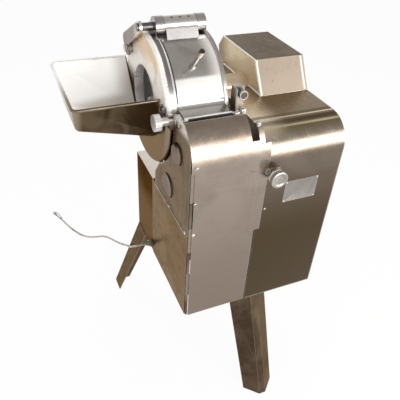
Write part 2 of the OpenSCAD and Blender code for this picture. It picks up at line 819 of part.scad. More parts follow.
// Smooth curve through the cord's points
function curve(p, i, t) = let (
    a = p[max(i - 1, 0)], b = p[i], c = p[i + 1], d = p[min(i + 2, len(p) - 1)])
  0.5 * (2 * b + (c - a) * t + (2 * a - 5 * b + 4 * c - d) * t * t + (3 * b - a - 3 * c + d) * t * t * t);

// Tube swept along a line of points
module tube(line, r, sides) {
  last = len(line) - 1;
  rings = [for (i = [0:last]) let (
      u = line[min(i + 1, last)] - line[max(i - 1, 0)],
      f = u / norm(u),
      s = cross(f, abs(f[2]) < 0.9 ? [0, 0, 1] : [0, 1, 0]),
      n = s / norm(s),
      m = cross(n, f))
    for (k = [0:sides - 1])
      line[i] + r * (cos(360 / sides * (k + 0.5)) * n + sin(360 / sides * (k + 0.5)) * m)];
  faces = concat(
    [[for (k = [0:sides - 1]) k]],
    [for (i = [0:last - 1], k = [0:sides - 1]) let (a = i * sides, j = (k + 1) % sides)
      each [[a + k, a + sides + k, a + j], [a + j, a + sides + k, a + sides + j]]],
    [[for (k = [sides - 1:-1:0]) last * sides + k]]);
  polyhedron(rings, faces);
}

// Supply cord from the gland to its free end
module supply_cord() {
  parts = 3;
  count = len(cord_points) - 1;
  inside = [[2, gland_y, gland_z]];
  line = [for (i = [0:count - 1], k = [0:parts - 1]) curve(cord_points, i, k / parts)];
  color(bright) tube(concat(inside, line, [cord_points[count]]), cord_d / 2, 8);
}

// Gate: the liftable front of the drum, with its lip
module gate() {
  foot = on_drum(drum_r, gate_from);
  inner = drum_r - drum_wall;
  tip = [foot[0] - lip_reach, foot[1] - 8];
  root_r = 16;
  root = [foot[0] - root_r + 2, foot[1] + root_r - 6];
  color(bright) plate(drum_x + mouth_ring + clear, drum_len - mouth_ring - 2 * clear) {
    difference() {
      intersection() {
        translate([drum_y, drum_z]) circle(drum_r);
        wedge(gate_from, gate_to, drum_r + 30);
      }
      translate([drum_y, drum_z]) circle(inner);
    }
    polygon([on_drum(drum_r - 1, gate_from + 2), [foot[0] - 8, foot[1] - 2], [tip[0], tip[1] + 3],
             [tip[0], tip[1] - 3], on_drum(inner + 0.6, gate_from - 1), on_drum(inner + 1, gate_from + 2)]);
    translate(tip) circle(3.5);
    difference() {
      polygon([on_drum(drum_r - 1, gate_from + 5), [foot[0] - root_r, foot[1] - 3],
               on_drum(drum_r - 3, gate_from)]);
      translate(root) circle(root_r);
    }
  }
}

// Middle knuckle of the gate hinge, with the short leaf down to the gate
module gate_knuckle() {
  x0 = hinge_x0 + knuckle_len + clear;
  x1 = hinge_x1 - knuckle_len - clear;
  barrel = knuckle_r - 1;
  lug = on_drum(drum_r - 2, gate_to - 5);
  end = on_drum(drum_r - 2, gate_to - 1);
  color(bright) difference() {
    plate(x0, x1 - x0) {
      translate([hinge_y, hinge_z]) circle(barrel);
      polygon([[hinge_y - barrel, hinge_z + 3], [hinge_y - barrel - 3, hinge_z - 2], lug, end,
               [hinge_y, hinge_z - barrel + 5]]);
    }
    bar(x0 - past, hinge_y, hinge_z, hinge_r + run, x1 - x0 + 2 * past);
    bar(x0 - past, drum_y, drum_z, drum_r, x1 - x0 + 2 * past);
  }
}

// Rod to lift the gate by, and its grip
handle_x = drum_x + drum_len / 2 - 3;
handle_angle = 47.6;
module on_gate(r)
  translate([handle_x, drum_y, drum_z]) rotate([90 - handle_angle, 0, 0]) translate([0, 0, r]) children();

module gate_handle()
  color(bright) on_gate(drum_r) {
    cylinder(r = 9, h = 12);
    cylinder(r = 4.5, h = handle_len - 8);
  }

module handle_grip()
  color(dark) on_gate(drum_r + handle_len - 20) difference() {
    cylinder(r = 7, h = 24);
    translate([0, 0, -past]) cylinder(r = 4.5, h = 12 + past);
  }

// Feed door: a dished disc with a round inlet and an ear for the clamp
module feed_door() {
  ear_out = clamp_reach + 14;
  color(bright) difference() {
    union() {
      turned(door_face, drum_y, drum_z) difference() {
        union() {
          translate([0, door_round]) square([door_r, door_t - door_round]);
          square([door_r - door_round, door_t]);
          translate([door_r - door_round, door_round]) circle(door_round);
        }
        translate([-door_r, -past]) square([door_r + inlet_r, door_t + 2 * past]);
        translate([inlet_r + 12, 8]) square([door_r - inlet_r - 12 - drum_wall, door_t]);
        translate([0, door_t]) square([door_r + past, door_round + past]);
      }
      plate(door_face, ear_t) intersection() {
        wedge(clamp_angle - 5.5, clamp_angle + 5.5, ear_out);
        difference() {
          translate([drum_y, drum_z]) circle(ear_out);
          translate([drum_y, drum_z]) circle(door_r - door_round);
        }
      }
    }
    // Slot that lets the door swing off the stud
    bar(door_face - past, clamp_y, clamp_z, ear_slot_r, ear_t + 2 * past);
    plate(door_face - past, ear_t + 2 * past) translate([clamp_y, clamp_z])
      rotate(atan2(hinge_y - clamp_y, clamp_z - hinge_z))
        translate([0, -ear_slot_r]) square([60, 2 * ear_slot_r]);
  }
}

// Hopper shape, set in from the outside by i
module hopper_form(i) {
  x1 = door_face + (i > 0 ? past : 0);
  reach = x1 - hopper_end - i;
  r = hopper_side_r - i;
  corner = hopper_corner - i;
  half = hopper_w / 2 - i;
  low = inlet_r + sheet - hopper_side_r;
  hull() {
    translate([0, 0, hopper_rim_z - past + (i > 0 ? 2 * past : 0)]) linear_extrude(past) {
      translate([x1 - reach + corner, hopper_mid]) for (s = [-1, 1]) translate([0, s * (half - corner)])
        circle(corner, $fn = 32);
      translate([x1 - past, hopper_mid - half]) square([past, 2 * half]);
    }
    for (s = [-1, 1]) {
      translate([x1 - past, drum_y + s * low, drum_z - low]) rotate([0, 90, 0])
        cylinder(r = r, h = past, $fn = 32);
      translate([hopper_end + hopper_toe + hopper_toe_r, drum_y + s * hopper_toe_half, drum_z - 16])
        sphere(hopper_toe_r - i, $fn = 24);
    }
  }
}

// Open sheet trough welded to the feed door
module hopper()
  color(steel) difference() {
    hopper_form(0);
    hopper_form(sheet);
  }

// Arm that hangs the feed door on the hinge shaft
module door_arm()
  color(steel) difference() {
    union() {
      plate(arm_x, arm_t) {
        translate([arm_bolt_y, arm_bolt_z]) circle(20);
        loop_outline([hinge_y, hinge_z], [arm_bolt_y + 14, arm_bolt_z + 20], hinge_r + 5, 20);
      }
      bar(arm_x, arm_bolt_y, arm_bolt_z, 15, door_face - arm_x);
    }
    bar(arm_x - past, hinge_y, hinge_z, hinge_r + run, arm_t + 2 * past);
    bar(arm_x - past, arm_bolt_y, arm_bolt_z, 6, 40);
  }

module door_arm_bolt()
  color(bright) {
    bar(arm_x - 8, arm_bolt_y, arm_bolt_z, 6, door_face - arm_x + 8);
    translate([arm_x - 8, arm_bolt_y, arm_bolt_z]) rotate([0, 90, 0]) cylinder(r = 11, h = 8, $fn = 6);
  }

// Knurled knob, drawn along +Z with its hub at the bottom
module knob(r, thick, hub_r, hub_len, bore) {
  notches = 24;
  notch_r = 1.5;
  difference() {
    union() {
      cylinder(r = hub_r, h = hub_len + past);
      translate([0, 0, hub_len]) cylinder(r = r, h = thick);
    }
    for (k = [0:notches - 1])
      rotate(360 / notches * k) translate([r + notch_r / 2, 0, hub_len - past])
        cylinder(r = notch_r, h = thick + 2 * past);
    if (bore > 0)
      translate([0, 0, -past]) cylinder(r = bore, h = hub_len + thick + past - 4);
  }
}

// Knob that clamps the feed door
module clamp_knob()
  color(bright) translate([door_face - clear, clamp_y, clamp_z]) rotate([0, -90, 0])
    knob(clamp_knob_r, 17, 11, 22, clamp_stud_r + run);

// Knob of the gate's gauge screw
module gauge_knob()
  color(bright) translate([gauge_x - 3, gauge_y + gauge_step - clear, gauge_z]) {
    rotate([90, 0, 0]) knob(12, 14, 8, 8, 0);
    rotate([-90, 0, 0]) cylinder(r = gauge_screw_r, h = 24);
  }

// Band of the cover that laps over the housing, set in from the outside by i
module lap_band(i) {
  from = seam_z - 16;
  intersection() {
    cover_region(i);
    translate([-cover_r, from]) square([2 * cover_r, lip_z - slot_h - 7 - from]);
  }
}

// Front cover of the knives, on the long hinge
module knife_cover() {
  tab_h = 34;
  tab_in = 55;
  tab_out = 20;
  edge_x = knife_w - cover_gap;
  color(steel) difference() {
    union() {
      plate(2 * barrel_r + 1, knife_w - 2 * barrel_r - 1 - cover_gap) difference() {
        cover_region(0);
        cover_region(sheet);
        translate([-past, body_z - past]) square([cover_r, past + clear]);
      }
      plate(0, 2 * barrel_r + 1 + past) difference() {
        cover_region(0);
        cover_region(sheet);
        translate([-past, body_z - past]) square([cover_r, barrel_z1 - body_z + past + clear]);
      }
      for (k = [1:2:barrel_count - 1])
        barrel(k, true);
      plate(edge_x - lap_w, 2 * lap_w) difference() {
        lap_band(-lap_t);
        lap_band(sheet / 2);
      }
      translate([lock_x - tab_in, -tab_t, body_z + lock_h - tab_h / 2])
        cube([tab_in + tab_out, tab_t, tab_h]);
    }
    translate([lock_x, sheet, body_z + lock_h]) rotate([90, 0, 0]) cylinder(r = lock_neck_r + run, h = 20);
    // Relief behind the tab and the lap
    translate([edge_x, -clear, body_z + lock_h - tab_h]) cube([60, 10, 2 * tab_h]);
    plate(edge_x, 2 * lap_w) lap_band(-clear);
    // Slot beside the lip, and the lowered strip that it leaves at the right
    translate([edge_x - strip_right - slot_w, -past, lip_z - slot_h]) cube([slot_w, cover_r, 2 * slot_h]);
    translate([edge_x - strip_right - past, -past, lip_z - slot_h / 3]) cube([2 * slot_w, cover_r, slot_h]);
  }
}

// Thumb screw that locks the cover to the housing
module cover_lock()
  color(bright) translate([lock_x, -tab_t - clear, body_z + lock_h]) {
    rotate([90, 0, 0]) knob(lock_knob_r, 16, 9, 18, 0);
    rotate([-90, 0, 0]) cylinder(r = lock_neck_r, h = tab_t);
    rotate([-90, 0, 0]) cylinder(r = lock_tip_r, h = 10);
  }

// Main shaft with the impeller, its gear and its pulley
module main_shaft()
  color(bright) bar(drum_end - 40, drum_y, drum_z, main_shaft_r, shaft_end - drum_end + 40);

module impeller() {
  r = drum_r - drum_wall - 7;
  disc_x = drum_end - 11;
  color(cast) difference() {
    union() {
      bar(disc_x, drum_y, drum_z, r - 4, 9);
      bar(disc_x - 22, drum_y, drum_z, main_shaft_r + 18, 24);
      for (k = [0:paddle_count - 1])
        translate([drum_x + 8, drum_y, drum_z]) rotate([90 + 360 / paddle_count * k, 0, 0])
          translate([0, inlet_r * 0.64, -6]) cube([disc_x - drum_x - 7, r - inlet_r * 0.64, 12]);
    }
    bar(disc_x - 40, drum_y, drum_z, main_shaft_r, 80);
  }
}

nut_len = 26;
module impeller_nut()
  color(bright) turned(drum_end - 33 - nut_len, drum_y, drum_z) difference() {
    intersection() {
      translate([0, nut_len]) circle(main_shaft_r + 8);
      square([2 * main_shaft_r, nut_len]);
    }
    translate([0, nut_len - 7]) square([main_shaft_r, 2 * nut_len]);
  }

module main_gear()
  color(cast) gear(train_x, drum_y, drum_z, main_teeth, main_module, main_to_cross, main_shaft_r);

module main_pulley()
  color(cast) turned(pulley_x, drum_y, drum_z) pulley_section(main_pulley_r, main_shaft_r);

// Shaft of the circular knives with its knives and gear
module disc_shaft()
  color(bright) bar(2, disc_y, disc_z, knife_shaft_r, pair_x + gear_w + 6 - 2);

module disc_knives()
  color(bright) turned(disc_first, disc_y, disc_z) {
    translate([knife_shaft_r, -disc_collar])
      square([spacer_r - knife_shaft_r, disc_last - disc_first + disc_t + 2 * disc_collar]);
    for (k = [0:disc_count - 1]) translate([0, strip_w * k])
      polygon([[spacer_r - past, 0], [disc_r - 4, 0], [disc_r, disc_t / 2], [disc_r - 4, disc_t],
               [spacer_r - past, disc_t]]);
  }

module disc_gear()
  color(cast) gear(pair_x, disc_y, disc_z, disc_teeth, pair_module, cross_to_disc + 180 + 180 / disc_teeth,
    knife_shaft_r);

// Shaft of the crosscut knives with its knives and gears
module cross_shaft()
  color(bright) bar(2, cross_y, cross_z, knife_shaft_r, gear_plate_x + gear_plate_t + 4 - 2);

module crosscut_knives() {
  x0 = side_t + 12;
  len = knife_w - x0 - 12;
  hub = cross_r - 30;
  color(bright) difference() {
    union() {
      bar(x0, cross_y, cross_z, hub, len);
      for (k = [0:cross_count - 1])
        plate(x0, len) translate([cross_y, cross_z]) rotate(360 / cross_count * k)
          polygon([[0, hub - 9], [hub - 6, 8], [cross_r - 4, 8], [cross_r, 10.5], [cross_r - 6, 13],
                   [hub - 8, 22]]);
    }
    bar(x0 - past, cross_y, cross_z, knife_shaft_r, len + 2 * past);
  }
}

module cross_gears()
  color(cast) {
    gear(train_x, cross_y, cross_z, cross_teeth, main_module, main_to_cross + 180 + 180 / cross_teeth,
      knife_shaft_r);
    gear(pair_x, cross_y, cross_z, second_teeth, pair_module, cross_to_disc, knife_shaft_r);
  }

// Motor shaft with its pulley
module motor_rotor()
  color(bright) {
    bar(motor_x + 32, motor_y, motor_z, 12, pulley_x + pulley_w - motor_x - 32 + 4);
    turned(pulley_x, motor_y, motor_z) pulley_section(motor_pulley_r, 11);
  }

placed() {
  housing_wrap();
  housing_right_side();
  housing_back();
  base_plate();
  main_plate();
  gear_plate();
  spacer_studs();
  pulley_cover();
  connection_box();
  side_plate();
  discharge_chute();
  compartment_back();
  front_leg();
  rear_left_leg();
  rear_right_leg();
  drum();
  bearing_tube();
  gate_hinge_block();
  gate_hinge_shaft();
  clamp_stud();
  gauge_bracket();
  slice_knife();
  knife_holder();
  stripper_comb();
  bearing_caps();
  disc_bearings();
  cross_bearings();
  main_bearings();
  motor();
  drive_belts();
  cover_hinge();
  cover_hinge_pin();
  cable_gland();
  supply_cord();
  gate();
  gate_knuckle();
  gate_handle();
  handle_grip();
  feed_door();
  hopper();
  door_arm();
  door_arm_bolt();
  clamp_knob();
  gauge_knob();
  knife_cover();
  cover_lock();
  main_shaft();
  impeller();
  impeller_nut();
  main_gear();
  main_pulley();
  disc_shaft();
  disc_knives();
  disc_gear();
  cross_shaft();
  crosscut_knives();
  cross_gears();
  motor_rotor();
}
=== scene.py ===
# Drum-fed vegetable dicer on three folded legs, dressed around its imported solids.
import math

import bmesh
import bpy
from mathutils import Matrix, Vector


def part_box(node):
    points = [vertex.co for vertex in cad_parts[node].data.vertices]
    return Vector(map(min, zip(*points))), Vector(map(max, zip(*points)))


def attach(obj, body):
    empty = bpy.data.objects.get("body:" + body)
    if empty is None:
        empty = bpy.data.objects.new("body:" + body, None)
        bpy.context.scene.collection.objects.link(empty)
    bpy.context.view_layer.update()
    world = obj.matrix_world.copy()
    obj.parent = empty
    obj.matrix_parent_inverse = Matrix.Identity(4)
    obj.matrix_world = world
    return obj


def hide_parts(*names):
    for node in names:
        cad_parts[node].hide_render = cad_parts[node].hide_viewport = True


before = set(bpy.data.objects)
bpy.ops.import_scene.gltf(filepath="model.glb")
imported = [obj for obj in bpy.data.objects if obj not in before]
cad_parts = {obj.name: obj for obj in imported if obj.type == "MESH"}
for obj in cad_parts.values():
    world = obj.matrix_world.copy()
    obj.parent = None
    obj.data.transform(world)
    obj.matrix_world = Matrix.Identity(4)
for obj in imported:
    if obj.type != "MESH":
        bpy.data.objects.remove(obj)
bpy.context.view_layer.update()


# Studio
# A seamless pale floor, a broad soft lamp low in front on the right, weaker ones on the left and
# overhead, and a camera at standing height that looks down on the machine from its front left.
class Wire:
    """A socket in one material's node tree; arithmetic on it adds Math nodes there."""

    def __init__(self, tree, socket):
        self.tree, self.socket = tree, socket

    def node(self, kind, settings=None, inputs=None, output=0):
        """Adds a node of a kind, sets its settings, feeds its sockets, and gives one output."""
        made = self.tree.nodes.new(kind)
        for name, value in (settings or {}).items():
            if name == "stops":
                ramp = made.color_ramp.elements
                while len(ramp) < len(value):
                    ramp.new(1)
                for element, (place, colour) in zip(ramp, value):
                    element.position, element.color = place, (*colour, 1)
            else:
                setattr(made, name, value)
        for name, value in (inputs or {}).items():
            if isinstance(value, Wire):
                self.tree.links.new(value.socket, made.inputs[name])
            else:
                made.inputs[name].default_value = value
        return Wire(self.tree, made.outputs[output])

    def math(self, operation, first=None, second=0.0):
        first = self if first is None else first
        return self.node("ShaderNodeMath", {"operation": operation}, {0: first, 1: second})

    def __add__(self, other):
        return self.math("ADD", self, other)

    def __radd__(self, other):
        return self.math("ADD", other, self)

    def __sub__(self, other):
        return self.math("SUBTRACT", self, other)

    def __rsub__(self, other):
        return self.math("SUBTRACT", other, self)

    def __mul__(self, other):
        return self.math("MULTIPLY", self, other)

    def __rmul__(self, other):
        return self.math("MULTIPLY", other, self)

    def part(self, axis):
        """One of the three numbers of these coordinates."""
        return self.node("ShaderNodeSeparateXYZ", {}, {0: self}, axis)

    def dot(self, other):
        """How far two directions agree: 1 where they are the same."""
        settings = {"operation": "DOT_PRODUCT"}
        return self.node("ShaderNodeVectorMath", settings, {0: self, 1: other}, "Value")

    def ramp(self, low, high):
        """0 up to low, 1 from high on, and smooth in between."""
        settings = {"interpolation_type": "SMOOTHSTEP"}
        return self.node("ShaderNodeMapRange", settings, {0: self, 1: low, 2: high})

    def blend(self, under, over):
        """The colour under where this is 0, and over where it is 1."""
        inputs = {0: self}
        for socket, colour in ((6, under), (7, over)):
            inputs[socket] = colour if isinstance(colour, Wire) else (*colour, 1)
        return self.node("ShaderNodeMix", {"data_type": "RGBA"}, inputs, 2)

    def noise(self, scale, detail=3.0, distortion=0.0):
        """Noise on these coordinates; a scale of three numbers stretches it into streaks."""
        place = self.node("ShaderNodeMapping", {}, {"Vector": self, "Scale": scale})
        inputs = {"Vector": place, "Scale": 1.0, "Detail": detail, "Distortion": distortion}
        return self.node("ShaderNodeTexNoise", {}, inputs)

    def into(self, shader, socket):
        self.tree.links.new(self.socket, shader.inputs[socket])

    def relief(self, shader, strength, depth):
        """Feeds these heights to a shader as a shallow relief, depth in metres."""
        inputs = {"Strength": strength, "Distance": depth, "Height": self}
        self.node("ShaderNodeBump", {}, inputs).into(shader, "Normal")


def new_finish(name):
    """A new material with its shader and its Object coordinates."""
    finish = bpy.data.materials.new(name)
    finish.use_nodes = True
    tree = finish.node_tree
    coordinates = tree.nodes.new("ShaderNodeTexCoord").outputs["Object"]
    return finish, tree.nodes["Principled BSDF"], Wire(tree, coordinates)


def seen_directly(start):
    """1 for rays from the camera or off metal and glass, which are to find a white studio."""
    rays = start.node("ShaderNodeLightPath").socket.node.outputs
    kinds = ("Is Camera Ray", "Is Glossy Ray", "Is Transmission Ray")
    seen, mirrored, refracted = [Wire(start.tree, rays[kind]) for kind in kinds]
    return (seen + mirrored + refracted).ramp(0.0, 1.0)


CAMERA_PLACE = (-0.54821, -1.08473, 1.55883)
RIGHT_ON_FILM = Vector((0.91973215, -0.38898399, 0.05276573))
DOWN_ON_FILM = Vector((-0.19900236, -0.57789455, -0.79147707))
LOOK = Vector((0.33836494, 0.7174464, -0.60891693))
FOCAL_LENGTH, FILM_WIDTH = 42.95, 36
film = bpy.data.cameras.new("camera")
film.lens, film.sensor_width = FOCAL_LENGTH, FILM_WIDTH
camera = bpy.data.objects.new("camera", film)
camera_turn = Matrix((RIGHT_ON_FILM, -DOWN_ON_FILM, -LOOK)).transposed().to_4x4()
camera.matrix_world = Matrix.Translation(CAMERA_PLACE) @ camera_turn
bpy.context.scene.collection.objects.link(camera)
bpy.context.scene.camera = camera
bpy.context.scene.view_settings.view_transform = "Standard"

FLOOR_HALF, FLOOR_TONE, FLOOR_WHITENED = 14.0, (0.86, 0.86, 0.86, 1), 0.95
floor_mesh = bmesh.new()
bmesh.ops.create_grid(floor_mesh, x_segments=1, y_segments=1, size=FLOOR_HALF)
floor_data = bpy.data.meshes.new("floor")
floor_mesh.to_mesh(floor_data)
floor_mesh.free()
floor = bpy.data.objects.new("floor", floor_data)
bpy.context.scene.collection.objects.link(floor)
floor_finish, floor_shader, floor_place = new_finish("studio_floor")
floor_shader.inputs["Base Color"].default_value = FLOOR_TONE
floor_shader.inputs["Roughness"].default_value = 0.9
floor_shader.inputs["Specular IOR Level"].default_value = 0.0
floor_glow = floor_place.node("ShaderNodeEmission", {}, {"Color": (1, 1, 1, 1), "Strength": 1.0})
floor_mix = floor_place.node("ShaderNodeMixShader", {}, {
    0: seen_directly(floor_place) * FLOOR_WHITENED,
    1: Wire(floor_place.tree, floor_shader.outputs[0]),
    2: floor_glow})
floor_mix.into(floor_place.tree.nodes["Material Output"], "Surface")
floor_data.materials.append(floor_finish)

SKY_TONES = [(0.30, (1, 1, 1)), (0.55, (0.66, 0.64, 0.61)), (0.85, (0.47, 0.45, 0.42))]
SKY_LIGHT, SKY_SEEN = 0.75, 1.0
world = bpy.data.worlds.new("studio")
world.use_nodes = True
bpy.context.scene.world = world
sky = world.node_tree.nodes["Background"]
sky_coordinates = world.node_tree.nodes.new("ShaderNodeTexCoord").outputs["Generated"]
sky_place = Wire(world.node_tree, sky_coordinates)
sky_height = sky_place.part("Z")
sky_height.node("ShaderNodeValToRGB", {"stops": SKY_TONES}, {0: sky_height}).into(sky, "Color")
(SKY_LIGHT + (SKY_SEEN - SKY_LIGHT) * seen_directly(sky_place)).into(sky, "Strength")


def soft_lamp(name, place, aim, width, height, power, colour, mirrored):
    """A flat soft lamp that shines from a place to an aim, and shows in polished faces or not."""
    data = bpy.data.lights.new(name, "AREA")
    data.shape, data.size, data.size_y = "RECTANGLE", width, height
    data.energy, data.color = power, colour
    lamp = bpy.data.objects.new(name, data)
    lamp.location = place
    lamp.rotation_mode = "QUATERNION"
    lamp.rotation_quaternion = (Vector(aim) - Vector(place)).to_track_quat("-Z", "Y")
    lamp.visible_camera, lamp.visible_glossy = False, mirrored
    bpy.context.scene.collection.objects.link(lamp)


MACHINE_MIDDLE = (0.0, 0.0, 0.9)
soft_lamp("front_lamp", (1.05, -2.25, 1.35), MACHINE_MIDDLE, width=2.6, height=1.45, power=58,
          colour=(1, 0.98, 0.95), mirrored=True)
soft_lamp("left_lamp", (-2.4, -0.7, 1.9), MACHINE_MIDDLE, width=1.4, height=1.4, power=22,
          colour=(1, 0.97, 0.93), mirrored=False)
soft_lamp("top_lamp", (0.2, 0.6, 3.2), MACHINE_MIDDLE, width=1.6, height=1.6, power=33,
          colour=(1, 1, 1), mirrored=False)

# Legs
# Three legs folded from 4 mm stainless sheet, narrower at the floor, welded under the body. They
# are brushed along their length, scuffed, and bright at the folds and edges, partly as rubbed wear
# and partly as a painted highlight.
KNIFE_WIDTH = 206
LEFT_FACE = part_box("housing_wrap")[0].x - KNIFE_WIDTH / 1000
FRONT_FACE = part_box("housing_wrap")[0].y


def at(x, y, z):
    """A point in the frame from millimetres off the left face, the front face and the floor."""
    return Vector((LEFT_FACE + x / 1000, FRONT_FACE + y / 1000, z / 1000))


def along(axis, *places):
    """Places in millimetres along one axis of the machine, as numbers of the frame."""
    return [at(mm, mm, mm)["XYZ".index(axis)] for mm in places]


def dress(finish, *nodes):
    """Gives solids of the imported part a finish."""
    for node in nodes:
        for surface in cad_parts[node].material_slots:
            surface.material = finish


def brushed_sheet(name, tone, shade, grain, gloss=0.32, edge=(0.62, 0.56, 0.49), film=None,
                  metal=1.0, rim=(1, 1, 1), edge_r=2.2, marks=(), washes=()):
    """Brushed stainless sheet: streaks along the brushing, cloudy handling marks, bright edges
    that are partly rubbed wear and partly a painted highlight.

    grain is how fine the streaks are along X, Y and Z. A wash is (axis, place, place, colour) where
    the sheet turns to that colour from the second place to the first; washes paint light and shade
    by position. film is a painted tone for upward faces, standing for the light that falls on them,
    at the left, at the right, and from where to where it changes. metal is how bare the metal is,
    rim its colour at a slant, edge_r how wide the bright edges are painted in the colour edge,
    partly as rubbed wear and partly as a painted highlight, and marks are painted lines of
    highlight or shade across it that stand for press creases, each as (axis, place, half width,
    colour). Places and widths are in millimetres."""
    finish, shader, place = new_finish(name)
    streak = place.noise(grain, 2)
    hair = place.noise([7 * g for g in grain], 2)
    cloud = place.noise((6.5, 6.5, 6.5), 4, 0.6).ramp(0.3, 0.72)
    smear = place.noise((26, 26, 26), 3, 1.4).ramp(0.35, 0.8)
    colour = (0.55 * cloud + 0.3 * streak + 0.15 * smear).ramp(0.2, 0.85).blend(tone, shade)
    # Washes: painted light and shade by position.
    for axis, washed_end, plain_end, stain_and_painted_light in washes:
        washed_end, plain_end = along(axis, washed_end, plain_end)
        wander = 0.1 * abs(plain_end - washed_end) * (cloud - 0.5)
        colour = (place.part(axis) + wander).ramp(washed_end, plain_end).blend(stain_and_painted_light, colour)
    face = place.node("ShaderNodeNewGeometry", {}, {}, "Normal")
    # film: a painted tone for upward faces, standing for the light that falls on them.
    if film:
        left, right, *change = film
        top_light_tone = place.part("X").ramp(*along("X", *change)).blend(left, right)
        colour = (face.part("Z").ramp(0.6, 0.95) * (0.9 + 0.1 * cloud)).blend(colour, top_light_tone)
    # marks: painted highlight and shade lines that stand for press creases.
    for axis, line, half, painted_line_tone in marks:
        offset = (place.part(axis) - along(axis, line)[0]).math("ABSOLUTE")
        painted_line = 1.0 - offset.ramp(0.4 * half / 1000, half / 1000)
        colour = (painted_line * (0.45 + 0.55 * cloud)).blend(colour, painted_line_tone)
    # Bright edges: partly rubbed wear, partly a painted highlight.
    rounded = place.node("ShaderNodeBevel", {"samples": 4}, {"Radius": edge_r / 1000})
    rubbed_and_lit_edge = (1.0 - face.dot(rounded)).ramp(0.01, 0.16) * (0.55 + 0.45 * smear)
    rubbed_and_lit_edge.blend(colour, edge).into(shader, "Base Color")
    shader.inputs["Metallic"].default_value = metal
    shader.inputs["Specular Tint"].default_value = (*rim, 1)
    dulled = 0.10 * (streak - 0.5) + 0.14 * (smear - 0.4) - 0.08 * rubbed_and_lit_edge
    (gloss + dulled).into(shader, "Roughness")
    hair.relief(shader, 0.16, 0.0003)
    return finish


ALONG_Z = (150, 150, 3)
leg_sheet = brushed_sheet("leg_sheet", (0.130, 0.094, 0.060), (0.060, 0.040, 0.025), ALONG_Z,
                          gloss=0.36, rim=(0.78, 0.66, 0.54))
dress(leg_sheet, "front_leg", "rear_left_leg", "rear_right_leg")

# Drive housing
# Front and top bent from one stainless sheet, with flat right side and floor sheets, and a back
# screwed on. The front is brushed across and painted darker brown towards the foot as shade, with a
# painted highlight at the bend and painted highlight and shade lines that stand for the press
# creases; its upward faces carry a painted tone for the light from above.
ALONG_X = (3, 150, 150)
# Painted highlight and shade lines that stand for the press creases across the bend.
CREASE_SHADE_PAINT, CREASE_HIGHLIGHT_PAINT = (0.100, 0.068, 0.040), (0.88, 0.79, 0.54)
BEND_LINES = [("Y", 94, 10, CREASE_SHADE_PAINT), ("Y", 83, 4, CREASE_HIGHLIGHT_PAINT),
              ("Y", 65, 11, CREASE_SHADE_PAINT), ("Y", 49, 4.5, CREASE_HIGHLIGHT_PAINT)]
# Painted shade darkens the front towards its foot, a painted highlight brightens it at the bend,
# the press lines are painted highlight and shade, and film paints the upward faces pale at the left
# and brown at the right for the light from above.
housing_sheet = brushed_sheet(
    "housing_sheet", (0.225, 0.185, 0.148), (0.155, 0.123, 0.097), ALONG_X, gloss=0.30,
    washes=[("Z", 600, 940, (0.082, 0.056, 0.029)), ("Z", 915, 890, (0.32, 0.278, 0.230))],
    marks=BEND_LINES, film=((0.90, 0.78, 0.60), (0.26, 0.190, 0.115), 225, 305))
dress(housing_sheet, "housing_wrap")
back_sheet = brushed_sheet("back_sheet", (0.23, 0.18, 0.14), (0.15, 0.115, 0.085), ALONG_Z)
dress(back_sheet, "housing_right_side", "housing_back", "base_plate")


def turned(bm, outline, seat, facing, steps=24):
    """Adds a piece turned from an outline of (radius, height) in millimetres, seated on a face."""
    before = set(bm.verts)
    rim = [bm.verts.new((r / 1000, 0, h / 1000)) for r, h in outline]
    edges = [bm.edges.new(pair) for pair in zip(rim, rim[1:])]
    bmesh.ops.spin(bm, geom=rim + edges, cent=(0, 0, 0), axis=(0, 0, 1), angle=2 * math.pi,
                   steps=steps, use_merge=True)
    bmesh.ops.remove_doubles(bm, verts=[v for v in bm.verts if v not in before], dist=1e-6)
    made = [v for v in bm.verts if v not in before]
    bmesh.ops.recalc_face_normals(bm, faces=list({f for v in made for f in v.link_faces}))
    turn = facing.to_track_quat("Z", "Y").to_matrix().to_4x4()
    bmesh.ops.transform(bm, matrix=Matrix.Translation(seat) @ turn, verts=made)


def pan_head(r):
    """Outline of a screw's pan head with its drive recess, as (radius, height)."""
    return [(0, 0.25 * r), (0.32 * r, 0.25 * r), (0.36 * r, 0.56 * r), (0.7 * r, 0.52 * r),
            (0.93 * r, 0.34 * r), (r, 0.12 * r), (r, -0.3 * r)]


SHARP_FROM = math.radians(38)


def piece(name, bm, finish, body):
    """Makes a finished mesh into a piece that rides on a body."""
    mesh = bpy.data.meshes.new(name)
    bm.to_mesh(mesh)
    bm.free()
    mesh.shade_smooth()
    mesh.set_sharp_from_angle(angle=SHARP_FROM)
    mesh.materials.append(finish)
    made = bpy.data.objects.new(name, mesh)
    bpy.context.scene.collection.objects.link(made)
    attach(made, body)
    return made


